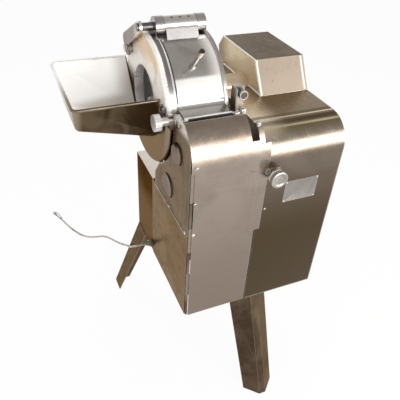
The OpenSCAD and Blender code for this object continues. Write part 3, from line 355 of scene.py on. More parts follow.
def polished(name, tone, shade, gloss, metal=1.0, rim=(1, 1, 1), washes=()):
    """Polished stainless: fine scuffs in all directions and dull patches.

    metal is how bare it is and rim its colour at a slant. A wash is (axis, place, place, colour,
    metal) where the piece turns to that colour and bareness, from the second place to the first,
    in millimetres. Washes mostly paint light, shade and reflections by position."""
    finish, shader, place = new_finish(name)
    patch = place.noise((9, 9, 9), 4, 0.8).ramp(0.32, 0.74)
    scuffs = place.noise((60, 420, 180), 3, 0.4)
    speck = place.noise((340, 340, 340), 2)
    colour = (0.7 * patch + 0.3 * scuffs).ramp(0.25, 0.9).blend(tone, shade)
    shader.inputs["Metallic"].default_value = metal
    # Washes: mostly painted light, shade and reflections by position.
    for axis, washed_end, plain_end, stain_and_painted_light, bare in washes:
        clear = (place.part(axis) + 0.002 * (patch - 0.5)).ramp(*along(axis, washed_end, plain_end))
        darker_wash = [0.8 * c for c in stain_and_painted_light]
        uneven = (0.5 * patch + 0.5 * scuffs).ramp(0.25, 0.85).blend(stain_and_painted_light, darker_wash)
        colour = clear.blend(uneven, colour)
        metal = bare + (metal - bare) * clear
        metal.into(shader, "Metallic")
    colour.into(shader, "Base Color")
    shader.inputs["Specular Tint"].default_value = (*rim, 1)
    dulled = 0.12 * patch + 0.1 * (scuffs - 0.5) + 0.05 * (speck - 0.5)
    (gloss + dulled).into(shader, "Roughness")
    scuffs.relief(shader, 0.1, 0.0003)
    return finish


FORWARD, BACKWARD = Vector((0, -1, 0)), Vector((0, 1, 0))
HOUSING_SCREW_R, FRONT_SCREW = 4.2, (230, 0, 723)
BACK_FACE, BACK_SCREW_XS, BACK_SCREW_ZS = 486, (222, 333, 444), (372, 655, 940)
fastener_steel = polished("fastener_steel", (0.72, 0.70, 0.67), (0.42, 0.39, 0.36), gloss=0.22)
housing_screws = bmesh.new()
turned(housing_screws, pan_head(HOUSING_SCREW_R), at(*FRONT_SCREW), FORWARD)
for back_x in BACK_SCREW_XS:
    for back_z in BACK_SCREW_ZS:
        back_seat = at(back_x, BACK_FACE, back_z)
        turned(housing_screws, pan_head(HOUSING_SCREW_R), back_seat, BACKWARD)
piece("housing_screws", housing_screws, fastener_steel, "frame")


# Drive
# Plates, studs, gears, bearings, pulleys and the motor, bolted up inside the housing: plain
# machined steel with a film of oil, rubber belts, and a motor in grey-blue paint.
def moulded(name, colour, roughness):
    """Moulded plastic, rubber or thick paint: fine texture and a slight bloom."""
    finish, shader, place = new_finish(name)
    grain = place.noise((900, 900, 900), 2)
    bloom = place.noise((30, 30, 30), 3).ramp(0.35, 0.75)
    bloom.blend(colour, [1.7 * c + 0.01 for c in colour]).into(shader, "Base Color")
    (roughness + 0.12 * (grain - 0.5) + 0.08 * bloom).into(shader, "Roughness")
    grain.relief(shader, 0.2, 0.0003)
    return finish


dress(polished("plate_steel", (0.58, 0.50, 0.40), (0.40, 0.33, 0.25), gloss=0.34, metal=0.6),
      "main_plate", "gear_plate", "spacer_studs")
dress(polished("drive_steel", (0.32, 0.31, 0.30), (0.17, 0.16, 0.15), gloss=0.28),
      "disc_bearings", "cross_bearings", "main_bearings", "main_gear", "main_pulley", "disc_gear",
      "cross_gears", "motor_rotor")
dress(moulded("belt_rubber", (0.025, 0.024, 0.023), 0.7), "drive_belts")
dress(moulded("motor_paint", (0.10, 0.13, 0.16), 0.4), "motor")


# Nameplate
# A bare plate of thin anodised aluminium, with a rolled border, held on the housing's front by
# four small rivets.
def anodised():
    """Anodised aluminium: pale, finely brushed, dulled by wiping."""
    finish, shader, place = new_finish("nameplate_aluminium")
    brush = place.noise((12, 300, 900), 2)
    wipe = place.noise((40, 40, 14), 3, 0.8).ramp(0.35, 0.75)
    tone = (0.6 * wipe + 0.4 * brush).blend((0.34, 0.315, 0.29), (0.22, 0.20, 0.185))
    tone.into(shader, "Base Color")
    shader.inputs["Metallic"].default_value = 0.85
    (0.38 + 0.16 * (brush - 0.5) + 0.1 * wipe).into(shader, "Roughness")
    brush.relief(shader, 0.1, 0.0002)
    return finish


PLATE_LEFT, PLATE_RIGHT, PLATE_FOOT, PLATE_TOP = 285, 394, 732, 805
PLATE_THICK, PLATE_CORNER = 1, 4
BORDER, BORDER_SLOPE, BORDER_STEP = 3, 0.8, 0.4
nameplate = bmesh.new()
plate_middle = at((PLATE_LEFT + PLATE_RIGHT) / 2, -PLATE_THICK / 2, (PLATE_FOOT + PLATE_TOP) / 2)
plate_size = Matrix.Diagonal(((PLATE_RIGHT - PLATE_LEFT) / 1000, PLATE_THICK / 1000,
                              (PLATE_TOP - PLATE_FOOT) / 1000, 1))
bmesh.ops.create_cube(nameplate, size=1, matrix=Matrix.Translation(plate_middle) @ plate_size)
plate_corners = [e for e in nameplate.edges
                 if abs((e.verts[0].co - e.verts[1].co).normalized().y) > 0.9]
bmesh.ops.bevel(nameplate, geom=plate_corners, offset=PLATE_CORNER / 1000, segments=4, profile=0.5,
                affect="EDGES", material=-1, clamp_overlap=True)
plate_face = [f for f in nameplate.faces if f.normal.y < -0.9]
bmesh.ops.inset_region(nameplate, faces=plate_face, thickness=BORDER / 1000, depth=0.0)
bmesh.ops.inset_region(nameplate, faces=plate_face, thickness=BORDER_SLOPE / 1000,
                       depth=-BORDER_STEP / 1000)
piece("nameplate", nameplate, anodised(), "frame")

RIVET = [(0, 1.9), (1.2, 1.7), (2.3, 1.0), (2.8, 0.2), (2.8, -0.5)]
RIVET_INSET = 4
rivets = bmesh.new()
for rivet_x in (PLATE_LEFT + RIVET_INSET, PLATE_RIGHT - RIVET_INSET):
    for rivet_z in (PLATE_FOOT + RIVET_INSET, PLATE_TOP - RIVET_INSET):
        turned(rivets, RIVET, at(rivet_x, -PLATE_THICK, rivet_z), FORWARD)
piece("nameplate_rivets", rivets, fastener_steel, "frame")

# Pulley cover
# A welded box of stainless sheet over the main pulley, standing on the housing's top. Its left
# side is painted pale tan as a reflection and darker towards the back as painted shade, the rest
# is a darker tan, its top is painted dark as shade, its edges carry a painted highlight, and its
# seams are ground bright.
ALONG_Y = (150, 3, 150)
COVER_LEFT, COVER_BACK = 298, 500
# Painted shade: the cover's top is painted dark brown.
TOP_PAINTED_SHADE = (0.062, 0.040, 0.021)
# Painted reflection and shade: the left side is pale tan, a little darker at the front and much
# darker towards the back; the rest is a darker tan, and the edges carry a bright painted highlight.
pulley_cover_sheet = brushed_sheet(
    "pulley_cover_sheet", (0.98, 0.85, 0.61), (0.88, 0.72, 0.48), ALONG_Y, gloss=0.34, metal=0.3,
    edge=(0.98, 0.95, 0.88), rim=(0.75, 0.62, 0.47), film=(TOP_PAINTED_SHADE, TOP_PAINTED_SHADE, 0, 1),
    washes=[("Y", 225, 330, (0.90, 0.74, 0.52)), ("Y", COVER_BACK, 410, (0.36, 0.26, 0.16)),
            ("X", COVER_LEFT + 6, COVER_LEFT + 3, (0.40, 0.332, 0.268))])
dress(pulley_cover_sheet, "pulley_cover")


def bent_round(name, points, radius, finish, body):
    """A round cord, wire or bead on a smooth curve through points, its radius in millimetres."""
    data = bpy.data.curves.new(name, "CURVE")
    data.dimensions, data.bevel_depth, data.bevel_resolution = "3D", radius / 1000, 5
    data.resolution_u, data.use_fill_caps = 8, True
    line = data.splines.new("BEZIER")
    line.bezier_points.add(len(points) - 1)
    for knot, point in zip(line.bezier_points, points):
        knot.co = point
        knot.handle_left_type = knot.handle_right_type = "AUTO"
    data.materials.append(finish)
    made = bpy.data.objects.new(name, data)
    bpy.context.scene.collection.objects.link(made)
    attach(made, body)
    return made


COVER_SEAMS = [("left", 5.0, (301.6, 216.2, 963), (301.6, 270.4, 1046.5)),
               ("right", 5.0, (450, 216.2, 963), (450, 270.4, 1046.5)),
               ("top", 2.0, (299, 269.5, 1049), (299, 481, 1049)),
               ("foot", 3.0, (298.5, 216, 963.5), (298.5, 464, 963.5))]
seam_steel = polished("ground_seam_steel", (0.97, 0.95, 0.91), (0.86, 0.82, 0.76), gloss=0.3,
                      metal=0.4)
for seam, seam_r, *seam_ends in COVER_SEAMS:
    bent_round(f"pulley_cover_{seam}_seam", [at(*end) for end in seam_ends], seam_r, seam_steel,
               "frame")

# Knife compartment
# Left side plate with two bearing caps, discharge walls and the connection box behind: thick
# plate above the seam, 2 mm sheet below it, both brushed and given a brown tone that stands for
# the brown surroundings they reflect, a painted reflection. The plate is painted bright along its
# top as a highlight, and the connection box is painted pale on top and lighter towards its foot as
# light. A bright bead runs along the seam, and screws hold the sheet and the plate.
# Painted light on the top of the connection box.
BOX_TOP_PAINTED_LIGHT = (1.0, 0.95, 0.87)
# Painted reflection: the brown tone stands for the brown surroundings the sheet reflects.
side_sheet = brushed_sheet("side_sheet", (0.21, 0.145, 0.090), (0.14, 0.092, 0.052), ALONG_Y,
                           gloss=0.27, rim=(0.72, 0.62, 0.52))
dress(side_sheet, "discharge_chute", "compartment_back")
# Painted light: the box is pale on top and lighter towards its foot.
box_sheet = brushed_sheet("box_sheet", (0.105, 0.072, 0.045), (0.056, 0.037, 0.022), ALONG_Z,
                          gloss=0.28, film=(BOX_TOP_PAINTED_LIGHT, BOX_TOP_PAINTED_LIGHT, 0, 1), rim=(0.42, 0.34, 0.27),
                          washes=[("Z", 500, 620, (0.26, 0.195, 0.140))])
dress(box_sheet, "connection_box")
# Painted highlight: the plate is bright along its top and at its edges.
side_plate_steel = brushed_sheet(
    "side_plate_steel", (0.195, 0.150, 0.112), (0.100, 0.075, 0.052), ALONG_Z, gloss=0.25,
    edge=(0.86, 0.83, 0.79), rim=(0.72, 0.63, 0.55), edge_r=4,
    washes=[("Z", 985, 955, (0.78, 0.76, 0.745))])
dress(side_plate_steel, "side_plate")
dress(polished("bearing_cap_steel", (0.265, 0.218, 0.190), (0.145, 0.112, 0.092), gloss=0.22,
               rim=(0.60, 0.53, 0.47)), "bearing_caps")

SEAM_FRONT, SEAM_BACK, SEAM_Z, SEAM_R = 24, 284, 670.5, 1.2
seam_line = [at(-0.4, seam_y, SEAM_Z) for seam_y in (SEAM_FRONT, SEAM_BACK)]
bent_round("side_seam", seam_line, SEAM_R, fastener_steel, "frame")
LEFTWARD = Vector((-1, 0, 0))
SIDE_SCREW_R, SIDE_SCREWS = 4.6, [(154, 677), (28, 677), (205, 807)]
side_screws = bmesh.new()
for side_y, side_z in SIDE_SCREWS:
    turned(side_screws, pan_head(SIDE_SCREW_R), at(0, side_y, side_z), LEFTWARD)
piece("side_screws", side_screws, fastener_steel, "frame")

# Knives
# Slicing knife on its holder, circular and crosscut knives on their shafts, stripper comb and
# impeller: the knives are hardened and ground bright, the rest is machined and left plain.
dress(polished("knife_steel", (0.60, 0.60, 0.60), (0.42, 0.42, 0.42), gloss=0.16),
      "slice_knife", "disc_knives", "crosscut_knives", "disc_shaft", "cross_shaft")
dress(polished("machined_steel", (0.80, 0.78, 0.77), (0.60, 0.58, 0.57), gloss=0.34, metal=0.35),
      "knife_holder", "stripper_comb", "impeller", "impeller_nut", "main_shaft")

# Knife cover
# One curved stainless sheet in front of the knives, on a long hinge at its left edge, painted
# darker towards its foot as shade. It laps over the housing on the right with dressed welds and a
# bolt in its slot, with a dark strip at its edge that stands for the shade line there (painted
# shade), and is locked there by a thumb screw with a turned cap, beside a small stop screw.
# Painted shade: the sheet darkens towards its foot; its bright edges are partly rubbed wear and
# partly a painted highlight.
cover_sheet, weld_sheet = [
    brushed_sheet(name, (0.375, 0.310, 0.262), (0.285, 0.230, 0.190), ALONG_X, gloss=0.30,
                  edge_r=bright_edge_r, washes=[("Z", 400, 900, (0.265, 0.207, 0.168))])
    for name, bright_edge_r in (("cover_sheet", 2.2), ("weld_sheet", 0.1))]
dress(cover_sheet, "knife_cover")
dress(polished("hinge_steel", (0.24, 0.19, 0.15), (0.12, 0.09, 0.065), gloss=0.25,
               rim=(0.6, 0.5, 0.4)), "cover_hinge", "cover_hinge_pin")
dress(polished("knob_steel", (0.86, 0.83, 0.80), (0.62, 0.59, 0.56), gloss=0.3, metal=0.3),
      "cover_lock")


def ramp_up(bm, outline, left, right, rise):
    """Adds a dressed weld that climbs from a face to a lap's edge.

    outline is a list of (Y, Z, lean): a line up the face, and how far the face leans back there."""
    sunk = -0.5
    rails = [[bm.verts.new(at(x, y - up * math.cos(lean), z + up * math.sin(lean)))
              for y, z, lean in outline] for x, up in ((left, 0), (right, rise), (right, sunk))]
    for first, second in zip(rails, rails[1:] + rails[:1]):
        for quad in zip(first, second, second[1:], first[1:]):
            bm.faces.new(quad)
    for end in (0, -1):
        bm.faces.new([rail[end] for rail in rails])
    bmesh.ops.recalc_face_normals(bm, faces=bm.faces)


LAP_FOOT, CURVE_FOOT, CURVE_R = 654, 895, 120
LAP_LEANS = [math.radians(lean) for lean in (0, 4, 8, 12, 16, 20, 22)]
lap_line = [(0, LAP_FOOT, 0)] + [
    (CURVE_R - CURVE_R * math.cos(lean), CURVE_FOOT + CURVE_R * math.sin(lean), lean)
    for lean in LAP_LEANS]
lap_weld = bmesh.new()
ramp_up(lap_weld, lap_line, left=172, right=188.6, rise=2.4)
piece("cover_lap_weld", lap_weld, weld_sheet, "knife_cover")
TAB_FOOT, TAB_TOP = 829.5, 862.5
tab_weld = bmesh.new()
ramp_up(tab_weld, [(0, TAB_FOOT, 0), (0, TAB_TOP, 0)], left=160, right=181.1, rise=2.9)
piece("cover_tab_weld", tab_weld, weld_sheet, "knife_cover")

LOCK_X, LOCK_Z = 236, 846
LOCK_CAP = [(0, 3.0), (4.5, 3.0), (6, 1.4), (14, 0.5), (17, 2.8), (21.5, 3.2), (24.5, 1.4),
            (25, -1), (25, -9), (22, -9)]
lock_seat = at(LOCK_X, 0, LOCK_Z)
lock_seat.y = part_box("cover_lock")[0].y
lock_cap = bmesh.new()
turned(lock_cap, LOCK_CAP, lock_seat, FORWARD, steps=48)
cap_steel = polished("cap_steel", (0.50, 0.475, 0.445), (0.32, 0.295, 0.27), gloss=0.24, metal=0.9)
piece("cover_lock_cap", lock_cap, cap_steel, "cover_lock")

SLOT_BOLT = [(0, 9), (3, 8.4), (4.8, 6.4), (5.2, 4), (7, 3.6), (7, -4)]
BOLT_X, BOLT_R, BOLT_LEAN = 191, CURVE_R + 3, math.radians(46)
bolt_seat = at(BOLT_X, CURVE_R - BOLT_R * math.cos(BOLT_LEAN),
               CURVE_FOOT + BOLT_R * math.sin(BOLT_LEAN))
slot_bolt = bmesh.new()
turned(slot_bolt, SLOT_BOLT, bolt_seat, Vector((0, -math.cos(BOLT_LEAN), math.sin(BOLT_LEAN))))
piece("cover_slot_bolt", slot_bolt, fastener_steel, "knife_cover")


def rounded_bar(bm, low, high, edge):
    """Adds a straight bar between two corners, its edges rounded, all in millimetres."""
    low, high = at(*low), at(*high)
    seat = Matrix.Translation((low + high) / 2) @ Matrix.Diagonal((*(high - low), 1))
    made = bmesh.ops.create_cube(bm, size=1, matrix=seat)["verts"]
    bmesh.ops.bevel(bm, geom=list({e for v in made for e in v.link_edges}), offset=edge / 1000,
                    segments=3, profile=0.5, affect="EDGES", material=-1)


# Painted shade: a dark strip along the cover's right edge stands for the shade line there.
SHADE_STRIP_CORNERS = (206.3, -1.4, 351), (210.5, 0.2, 653)
shade_strip = bmesh.new()
rounded_bar(shade_strip, *SHADE_STRIP_CORNERS, edge=0.6)
shade_strip_dark = moulded("shade_strip_dark", (0.03, 0.022, 0.015), 0.7)
piece("cover_shade_strip", shade_strip, shade_strip_dark, "frame")

COVER_SCREW_R, COVER_SCREWS = 5.2, [(12.5, 0, 687), (12.5, 0, 794), (12.5, 0.4, 905)]
STOP_SCREW = [(0, 6), (3.4, 5.6), (3.8, 4.2), (6.4, 3.8), (6.8, 1.8), (7.8, 1.5), (7.8, -0.5)]
STOP_SCREW_SEAT = (218, -3, 855)
cover_screws = bmesh.new()
for cover_seat in COVER_SCREWS:
    turned(cover_screws, pan_head(COVER_SCREW_R), at(*cover_seat), FORWARD)
turned(cover_screws, STOP_SCREW, at(*STOP_SCREW_SEAT), FORWARD)
piece("cover_screws", cover_screws, fastener_steel, "knife_cover")

# Drum and gate
# Cast and machined drum with a liftable front: the gate, polished, with a lip, a stop block and a
# rod to lift it by. Dark strips along its left edge and under its lip stand for the shaded gaps
# there (painted shade). It swings on a heavy hinge on top of the drum, pinned by three set screws.
# The drum is painted pale to lift its shaded inside and darker beyond the gate; the gate is painted
# white on its lower part and towards its right end, grey on its lip and bright at the lip's tip,
# as painted highlight, reflection and shade.
# Painted light and shade: the drum's pale tone lifts its shaded inside, and it turns darker grey
# beyond the gate.
drum_steel = polished("drum_steel", (0.80, 0.77, 0.75), (0.62, 0.59, 0.57), gloss=0.28, metal=0.4,
                      washes=[("X", 151, 147, (0.46, 0.44, 0.42), 0.95)])
dress(drum_steel, "drum")
dress(polished("tube_steel", (0.60, 0.49, 0.37), (0.44, 0.35, 0.255), gloss=0.3, metal=0.6),
      "bearing_tube")
# Painted highlight, reflection and shade: the gate is white on its lower part and towards its right
# end, grey on its lip and bright at the lip's tip.
gate_steel = polished("gate_steel", (0.56, 0.54, 0.525), (0.36, 0.34, 0.325), gloss=0.2, washes=[
    ("X", 150, 105, (0.90, 0.86, 0.83), 0.6), ("Z", 1054, 1062, (0.92, 0.91, 0.90), 0.4),
    ("Z", 990, 1004, (0.38, 0.365, 0.35), 1.0), ("Y", 104, 107, (0.95, 0.93, 0.92), 0.4)])
dress(gate_steel, "gate")
dress(polished("hinge_block_steel", (0.52, 0.50, 0.50), (0.30, 0.285, 0.285), gloss=0.19),
      "gate_hinge_block", "gate_handle")
dress(polished("shaft_steel", (0.23, 0.21, 0.225), (0.12, 0.11, 0.115), gloss=0.22),
      "gate_hinge_shaft")
dress(polished("knuckle_steel", (0.68, 0.66, 0.66), (0.44, 0.425, 0.425), gloss=0.24),
      "gate_knuckle")
grip_foot, grip_top = [1000 * corner.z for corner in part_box("handle_grip")]
grip_ferrule = grip_foot + 0.62 * (grip_top - grip_foot)
grip_brass = polished("grip_brass", (0.70, 0.61, 0.45), (0.48, 0.41, 0.30), gloss=0.3, washes=[
    ("Z", grip_ferrule + 1, grip_ferrule, (0.02, 0.018, 0.016), 0.0)])
dress(grip_brass, "handle_grip")

DRUM_Y, DRUM_Z, DRUM_R = 326, 948, 180
# Painted shade: a dark ring strip along the gate's left edge and a dark bar under its lip stand for
# the shaded gaps there.
GAP_SHADE_LEFT, GAP_SHADE_RIGHT, GAP_SHADE_IN, GAP_SHADE_OUT = 16.8, 19.8, DRUM_R - 0.5, DRUM_R + 0.8
GAP_SHADE_FROM, GAP_SHADE_TO, GAP_SHADE_STEPS = math.radians(18), math.radians(78), 20
LIP_SHADE_STRIP = (24, 91.8, 982.4), (148, 98.2, 990.9)
RIGHTWARD = Vector((1, 0, 0))
gate_shade_strips = bmesh.new()
gap_shade_section = [
    gate_shade_strips.verts.new(at(x, DRUM_Y - r * math.cos(GAP_SHADE_FROM), DRUM_Z + r * math.sin(GAP_SHADE_FROM)))
    for x, r in ((GAP_SHADE_LEFT, GAP_SHADE_IN), (GAP_SHADE_LEFT, GAP_SHADE_OUT), (GAP_SHADE_RIGHT, GAP_SHADE_OUT),
                 (GAP_SHADE_RIGHT, GAP_SHADE_IN))]
gap_shade_sides = [gate_shade_strips.edges.new(pair) for pair in zip(gap_shade_section, gap_shade_section[1:])]
bmesh.ops.spin(gate_shade_strips, geom=gap_shade_section + gap_shade_sides, cent=at(0, DRUM_Y, DRUM_Z),
               axis=RIGHTWARD, angle=GAP_SHADE_FROM - GAP_SHADE_TO, steps=GAP_SHADE_STEPS)
rounded_bar(gate_shade_strips, *LIP_SHADE_STRIP, edge=1.5)
bmesh.ops.recalc_face_normals(gate_shade_strips, faces=gate_shade_strips.faces)
piece("gate_shade_strips", gate_shade_strips, moulded("gate_shade_strips", (0.03, 0.028, 0.028), 0.6), "gate")

STOP_NECK, STOP_BLOCK = ((149.4, 90, 981), (170, 101, 992)), ((168, 86, 974), (183, 104, 1000))
lip_stop = bmesh.new()
for stop_part in (STOP_NECK, STOP_BLOCK):
    rounded_bar(lip_stop, *stop_part, edge=1.8)
stop_steel = polished("stop_steel", (0.70, 0.68, 0.68), (0.46, 0.44, 0.44), gloss=0.2)
piece("gate_stop", lip_stop, stop_steel, "gate")

UPWARD = Vector((0, 0, 1))
HINGE_Y, HINGE_TOP, SET_SCREW_XS = 318, 1172, (58, 82, 106)
SOCKET_SCREW = [(0, -1.0), (1.8, -1.0), (2.0, 1.4), (3.6, 1.4), (4.0, 1.0), (4.0, -1.0)]
set_screws = bmesh.new()
for set_x in SET_SCREW_XS:
    turned(set_screws, SOCKET_SCREW, at(set_x, HINGE_Y, HINGE_TOP), UPWARD)
set_screw_steel = polished("set_screw_steel", (0.12, 0.11, 0.105), (0.06, 0.055, 0.05), gloss=0.3)
piece("hinge_set_screws", set_screws, set_screw_steel, "gate")

# Feed door and hopper
# Turned door with a rounded rim, a lined round inlet and two latch lugs, hung on the gate's hinge
# by an arm and held shut by a clamp knob. The door is painted tan at its top as a reflection, white
# across its rim as a highlight, grey where the rim meets the drum as shade and brown at its foot as
# a reflection of the floor, and the arm is painted bright towards the hinge as a highlight. The
# hopper is a trough of sheet welded to it, painted near white inside as light and brown outside as
# a reflection, with a rolled rim painted pale towards the back as a reflection.
# Painted reflection, highlight and shade: the door is tan at its top, white across its rounded rim,
# grey where the rim meets the drum, and brown at its foot as a reflection of the floor.
door_steel = polished(
    "door_steel", (0.93, 0.91, 0.89), (0.74, 0.70, 0.68), gloss=0.2, metal=0.25,
    rim=(0.55, 0.47, 0.38),
    washes=[("Z", 1100, 1045, (0.86, 0.67, 0.44), 0.2),
            ("X", -13.5, -15.5, (0.96, 0.95, 0.94), 0.3),
            ("X", -1, -6, (0.36, 0.345, 0.345), 1.0),
            ("Z", 950, 1010, (0.27, 0.205, 0.15), 1.0)])
dress(door_steel, "feed_door")
# Painted highlight: the arm is bright towards the hinge and at its edges.
arm_steel = brushed_sheet("arm_steel", (0.34, 0.31, 0.295), (0.19, 0.17, 0.16), ALONG_Z, gloss=0.26,
                          edge=(0.95, 0.92, 0.89), rim=(0.75, 0.7, 0.66), edge_r=4,
                          washes=[("Y", 330, 378, (0.82, 0.78, 0.76))])
dress(arm_steel, "door_arm")
dress(polished("bolt_steel", (0.86, 0.84, 0.83), (0.55, 0.53, 0.52), gloss=0.2, metal=0.6),
      "door_arm_bolt", "clamp_stud")
dress(polished("clamp_knob_steel", (0.66, 0.63, 0.625), (0.42, 0.395, 0.39), gloss=0.34, metal=0.7),
      "clamp_knob")

DOOR_FACE = -16.5
INLET_LINER = [(94.7, -25), (94.7, 0.3), (97, 0.5), (97, 1.3), (94.2, 1.3), (93.7, 0.4),
               (93.7, -25), (94.7, -25)]
liner = bmesh.new()
turned(liner, INLET_LINER, at(DOOR_FACE, DRUM_Y, DRUM_Z), LEFTWARD, steps=72)
liner_steel = polished("liner_steel", (0.72, 0.69, 0.69), (0.50, 0.47, 0.47), gloss=0.26,
                       metal=0.45)
piece("inlet_liner", liner, liner_steel, "feed_door")

LUG_YS, LUG_THICK, LUG_FACE, LUG_ROOT, LUG_FOOT, LUG_TOP = (150, 168), 7, -26.5, -16, 980, 1002
LATCH_PIN = [(0, 16), (2.6, 15.6), (3.4, 14.4), (3.4, -14.4), (2.6, -15.6), (0, -16)]
LATCH_PIN_MIDDLE = (-21.5, 162.5, 991)
latch = bmesh.new()
for lug_y in LUG_YS:
    rounded_bar(latch, (LUG_FACE, lug_y, LUG_FOOT), (LUG_ROOT, lug_y + LUG_THICK, LUG_TOP), edge=2)
turned(latch, LATCH_PIN, at(*LATCH_PIN_MIDDLE), BACKWARD)
latch_steel = polished("latch_steel", (0.22, 0.20, 0.195), (0.09, 0.08, 0.075), gloss=0.2)
piece("door_latch", latch, latch_steel, "feed_door")


def hopper_sheet():
    """Sheet of the hopper, streaked: painted near white inside as light, brown outside as a
    reflection.
    """
    finish, shader, place = new_finish("hopper_sheet")
    streak = place.noise((4, 60, 60), 3)
    stain_and_painted_light = place.noise((14, 14, 5), 4, 1.0).ramp(0.4, 0.75)

    def fade(colour, axis, start, end, over):
        """Fades a colour into another one from one place to the next, in millimetres."""
        return place.part(axis).ramp(*along(axis, start, end)).blend(colour, over)

    wiped = (0.7 * stain_and_painted_light + 0.3 * streak).ramp(0.3, 0.9)
    # Painted light: the inside is near white.
    inside = wiped.blend((0.985, 0.985, 0.98), (0.93, 0.92, 0.91))
    # Painted shade: darker low inside.
    inside = fade(inside, "Z", 925, 902, (0.60, 0.56, 0.51))
    # Painted reflection: greyer towards the door.
    inside = fade(inside, "X", -80, -28, (0.66, 0.625, 0.61))
    inside = fade(inside, "X", -21, -19, (0.03, 0.028, 0.026))
    outside_mottle = (0.6 * stain_and_painted_light + 0.4 * streak).ramp(0.2, 0.85)
    # Painted reflection: the outside is brown.
    outside = outside_mottle.blend((0.12, 0.085, 0.05), (0.06, 0.04, 0.02))
    # Painted reflection: the left end is lighter towards the back.
    end_wall = fade((0.30, 0.235, 0.165), "Y", 225, 390, (0.94, 0.92, 0.89))
    outside = fade(outside, "X", -212, -236, end_wall)

    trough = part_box("hopper")
    middle = (trough[0] + trough[1]) / 2 + 0.12 * UPWARD
    inward = place.node("ShaderNodeVectorMath", {"operation": "SUBTRACT"}, {0: middle, 1: place})
    face = place.node("ShaderNodeNewGeometry", {}, {}, "Normal")
    inner_face_lit = face.dot(inward).ramp(0.0, 0.002)
    inner_face_lit.blend(outside, inside).into(shader, "Base Color")
    (1.0 - inner_face_lit).into(shader, "Metallic")
    shader.inputs["Specular Tint"].default_value = (0.8, 0.75, 0.7, 1)
    (0.2 + 0.1 * stain_and_painted_light + 0.1 * (streak - 0.5)).into(shader, "Roughness")
    streak.relief(shader, 0.1, 0.0004)
    return finish


dress(hopper_sheet(), "hopper")


def run_straight(bm, edges, run):
    """Draws a ring of edges out along a straight line and gives its new end."""
    made = bmesh.ops.extrude_edge_only(bm, edges=edges)["geom"]
    moved = [g for g in made if isinstance(g, bmesh.types.BMVert)]
    bmesh.ops.translate(bm, vec=run, verts=moved)
    return [g for g in made if isinstance(g, bmesh.types.BMEdge)
            and all(len(v.link_edges) == 3 for v in g.verts)]


def run_round(bm, edges, centre, angle):
    """Draws a ring of edges round a bend and gives its new end."""
    verts = list({v for e in edges for v in e.verts})
    made = bmesh.ops.spin(bm, geom=verts + edges, cent=centre, axis=UPWARD, angle=angle, steps=8)
    return [g for g in made["geom_last"] if isinstance(g, bmesh.types.BMEdge)]


RIM_R, RIM_CORNER, RIM_Z = 4.5, 14, 1002
RIM_END, RIM_DOOR, RIM_NEAR, RIM_FAR = -242.5, -17, 195, 515
near_corner = at(RIM_END + RIM_CORNER, RIM_NEAR + RIM_CORNER, RIM_Z)
far_corner = at(RIM_END + RIM_CORNER, RIM_FAR - RIM_CORNER, RIM_Z)
side_run = (RIM_END + RIM_CORNER - RIM_DOOR) / 1000 * RIGHTWARD
end_run = (RIM_FAR - RIM_NEAR - 2 * RIM_CORNER) / 1000 * BACKWARD
rim_start = Matrix.Translation(at(RIM_DOOR, RIM_NEAR, RIM_Z)) @ Matrix.Rotation(math.pi / 2, 4, "Y")
rim = bmesh.new()
ring = bmesh.ops.create_circle(rim, segments=12, radius=RIM_R / 1000, matrix=rim_start)["verts"]
ring = list({e for v in ring for e in v.link_edges})
ring = run_straight(rim, ring, side_run)
ring = run_round(rim, ring, near_corner, -math.pi / 2)
ring = run_straight(rim, ring, end_run)
ring = run_round(rim, ring, far_corner, -math.pi / 2)
run_straight(rim, ring, -side_run)
bmesh.ops.remove_doubles(rim, verts=rim.verts, dist=1e-6)
bmesh.ops.holes_fill(rim, edges=[e for e in rim.edges if e.is_boundary], sides=0)
bmesh.ops.recalc_face_normals(rim, faces=rim.faces)
# Painted reflection: the rim turns pale towards the back.
hopper_rim_steel = polished("hopper_rim_steel", (0.235, 0.195, 0.14), (0.14, 0.108, 0.07),
                            gloss=0.2, washes=[("Y", 430, 225, (0.84, 0.82, 0.79), 0.4)])
piece("hopper_rim", rim, hopper_rim_steel, "feed_door")

# Gauge
# A small bracket on the main plate with the screw that stops the gate at the slice thickness. Its
# dark knob is turned from steel and has a bright ring pressed on its face.
dress(polished("bracket_steel", (0.40, 0.37, 0.34), (0.22, 0.20, 0.18), gloss=0.28),
      "gauge_bracket")
dress(polished("gauge_knob_steel", (0.16, 0.145, 0.14), (0.08, 0.072, 0.07), gloss=0.22),
      "gauge_knob")
GAUGE_X, GAUGE_Z = 189, 1022
GAUGE_RING = [(9.6, 0.1), (9.9, 1.1), (11.8, 1.3), (12.6, 0.4), (12.6, -5), (11.8, -5)]
gauge_seat = at(GAUGE_X, 0, GAUGE_Z)
gauge_seat.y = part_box("gauge_knob")[0].y
gauge_ring = bmesh.new()
turned(gauge_ring, GAUGE_RING, gauge_seat, FORWARD, steps=36)
piece("gauge_knob_ring", gauge_ring, fastener_steel, "gauge_knob")


# Supply cord
# Round rubber-sheathed cord, clamped in a moulded gland at the foot of the connection box. It
# drops to the floor behind the left leg and ends stripped, with its cores bare.
def sheathing(name, pale, soiled, roughness):
    """Cord sheath: dull, a little chalky, and soiled in patches where it drags on the floor."""
    finish, shader, place = new_finish(name)
    soil = place.noise((24, 24, 24), 4).ramp(0.42, 0.72)
    speck = place.noise((420, 420, 420), 2)
    soil.blend(pale, soiled).into(shader, "Base Color")
    (roughness + 0.18 * soil + 0.1 * (speck - 0.5)).into(shader, "Roughness")
    speck.relief(shader, 0.12, 0.0004)
    return finish


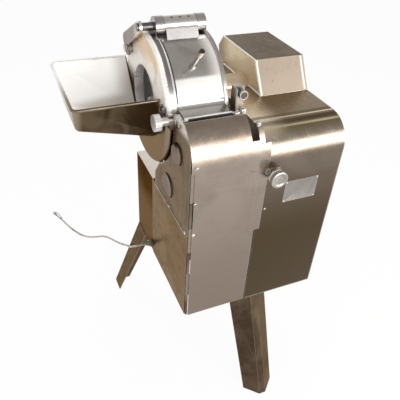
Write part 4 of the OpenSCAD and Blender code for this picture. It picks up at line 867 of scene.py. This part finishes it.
dress(moulded("gland_plastic", (0.13, 0.105, 0.075), 0.45), "cable_gland")
CORD_D = 8
CORD_ROUTE = [
    (-20, 332, 375), (-37, 335.4, 372), (-49.4, 344.8, 363.8), (-54, 357.6, 352.6), (-54, 382, 330),
    (-53, 430, 285), (-52, 490, 238), (-50, 560, 182), (-50, 637, 124), (-50, 700, 78),
    (-51, 745, 47), (-56, 785, 24), (-66, 815, 11), (-84, 833, 6), (-110, 841, 4.1),
    (-140, 850, 4.1), (-168, 871, 4.1), (-191, 905, 4.1), (-215, 952, 4.1), (-241, 1023, 4.1)]
cord_sheath = sheathing("cord_sheath", (0.52, 0.50, 0.46), (0.25, 0.22, 0.18), 0.5)
cord_line = [at(*point) for point in CORD_ROUTE]
supply_cord = bent_round("supply_cord_sheath", cord_line, CORD_D / 2, cord_sheath, "frame")
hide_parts("supply_cord")

CORE_ENDS = [(-263, 1099, 1.8), (-269, 1098, 1.8), (-274, 1090, 1.8), (-258, 1094, 1.8)]
CORE_COLOURS = [(0.03, 0.028, 0.026), (0.075, 0.045, 0.03), (0.05, 0.05, 0.05), (0.03, 0.05, 0.03)]
CORE_R, CORE_OFF_AXIS, CORE_TUCKED, CORE_SPLAY, CORE_REST = 1.4, 1.6, 12, 3, 2.2
core_start = Vector(CORD_ROUTE[-1])
core_run = (core_start - Vector(CORD_ROUTE[-2])).normalized()
core_side = core_run.cross(UPWARD)
for number, (end, colour) in enumerate(zip(CORE_ENDS, CORE_COLOURS)):
    core_finish = sheathing(f"core_insulation_{number}", colour, [0.5 * c for c in colour], 0.4)
    seat = core_start - CORE_TUCKED * core_run
    seat += core_side * (CORE_OFF_AXIS if number % 2 else -CORE_OFF_AXIS)
    seat.z += CORE_OFF_AXIS if number < 2 else -CORE_OFF_AXIS
    middle = (core_start + Vector(end)) / 2 + core_side * (number - 1.5) * CORE_SPLAY
    middle.z = CORE_REST + number % 2
    core_line = [at(*point) for point in (seat, middle, end)]
    bent_round(f"cord_core_{number}", core_line, CORE_R, core_finish, "frame")
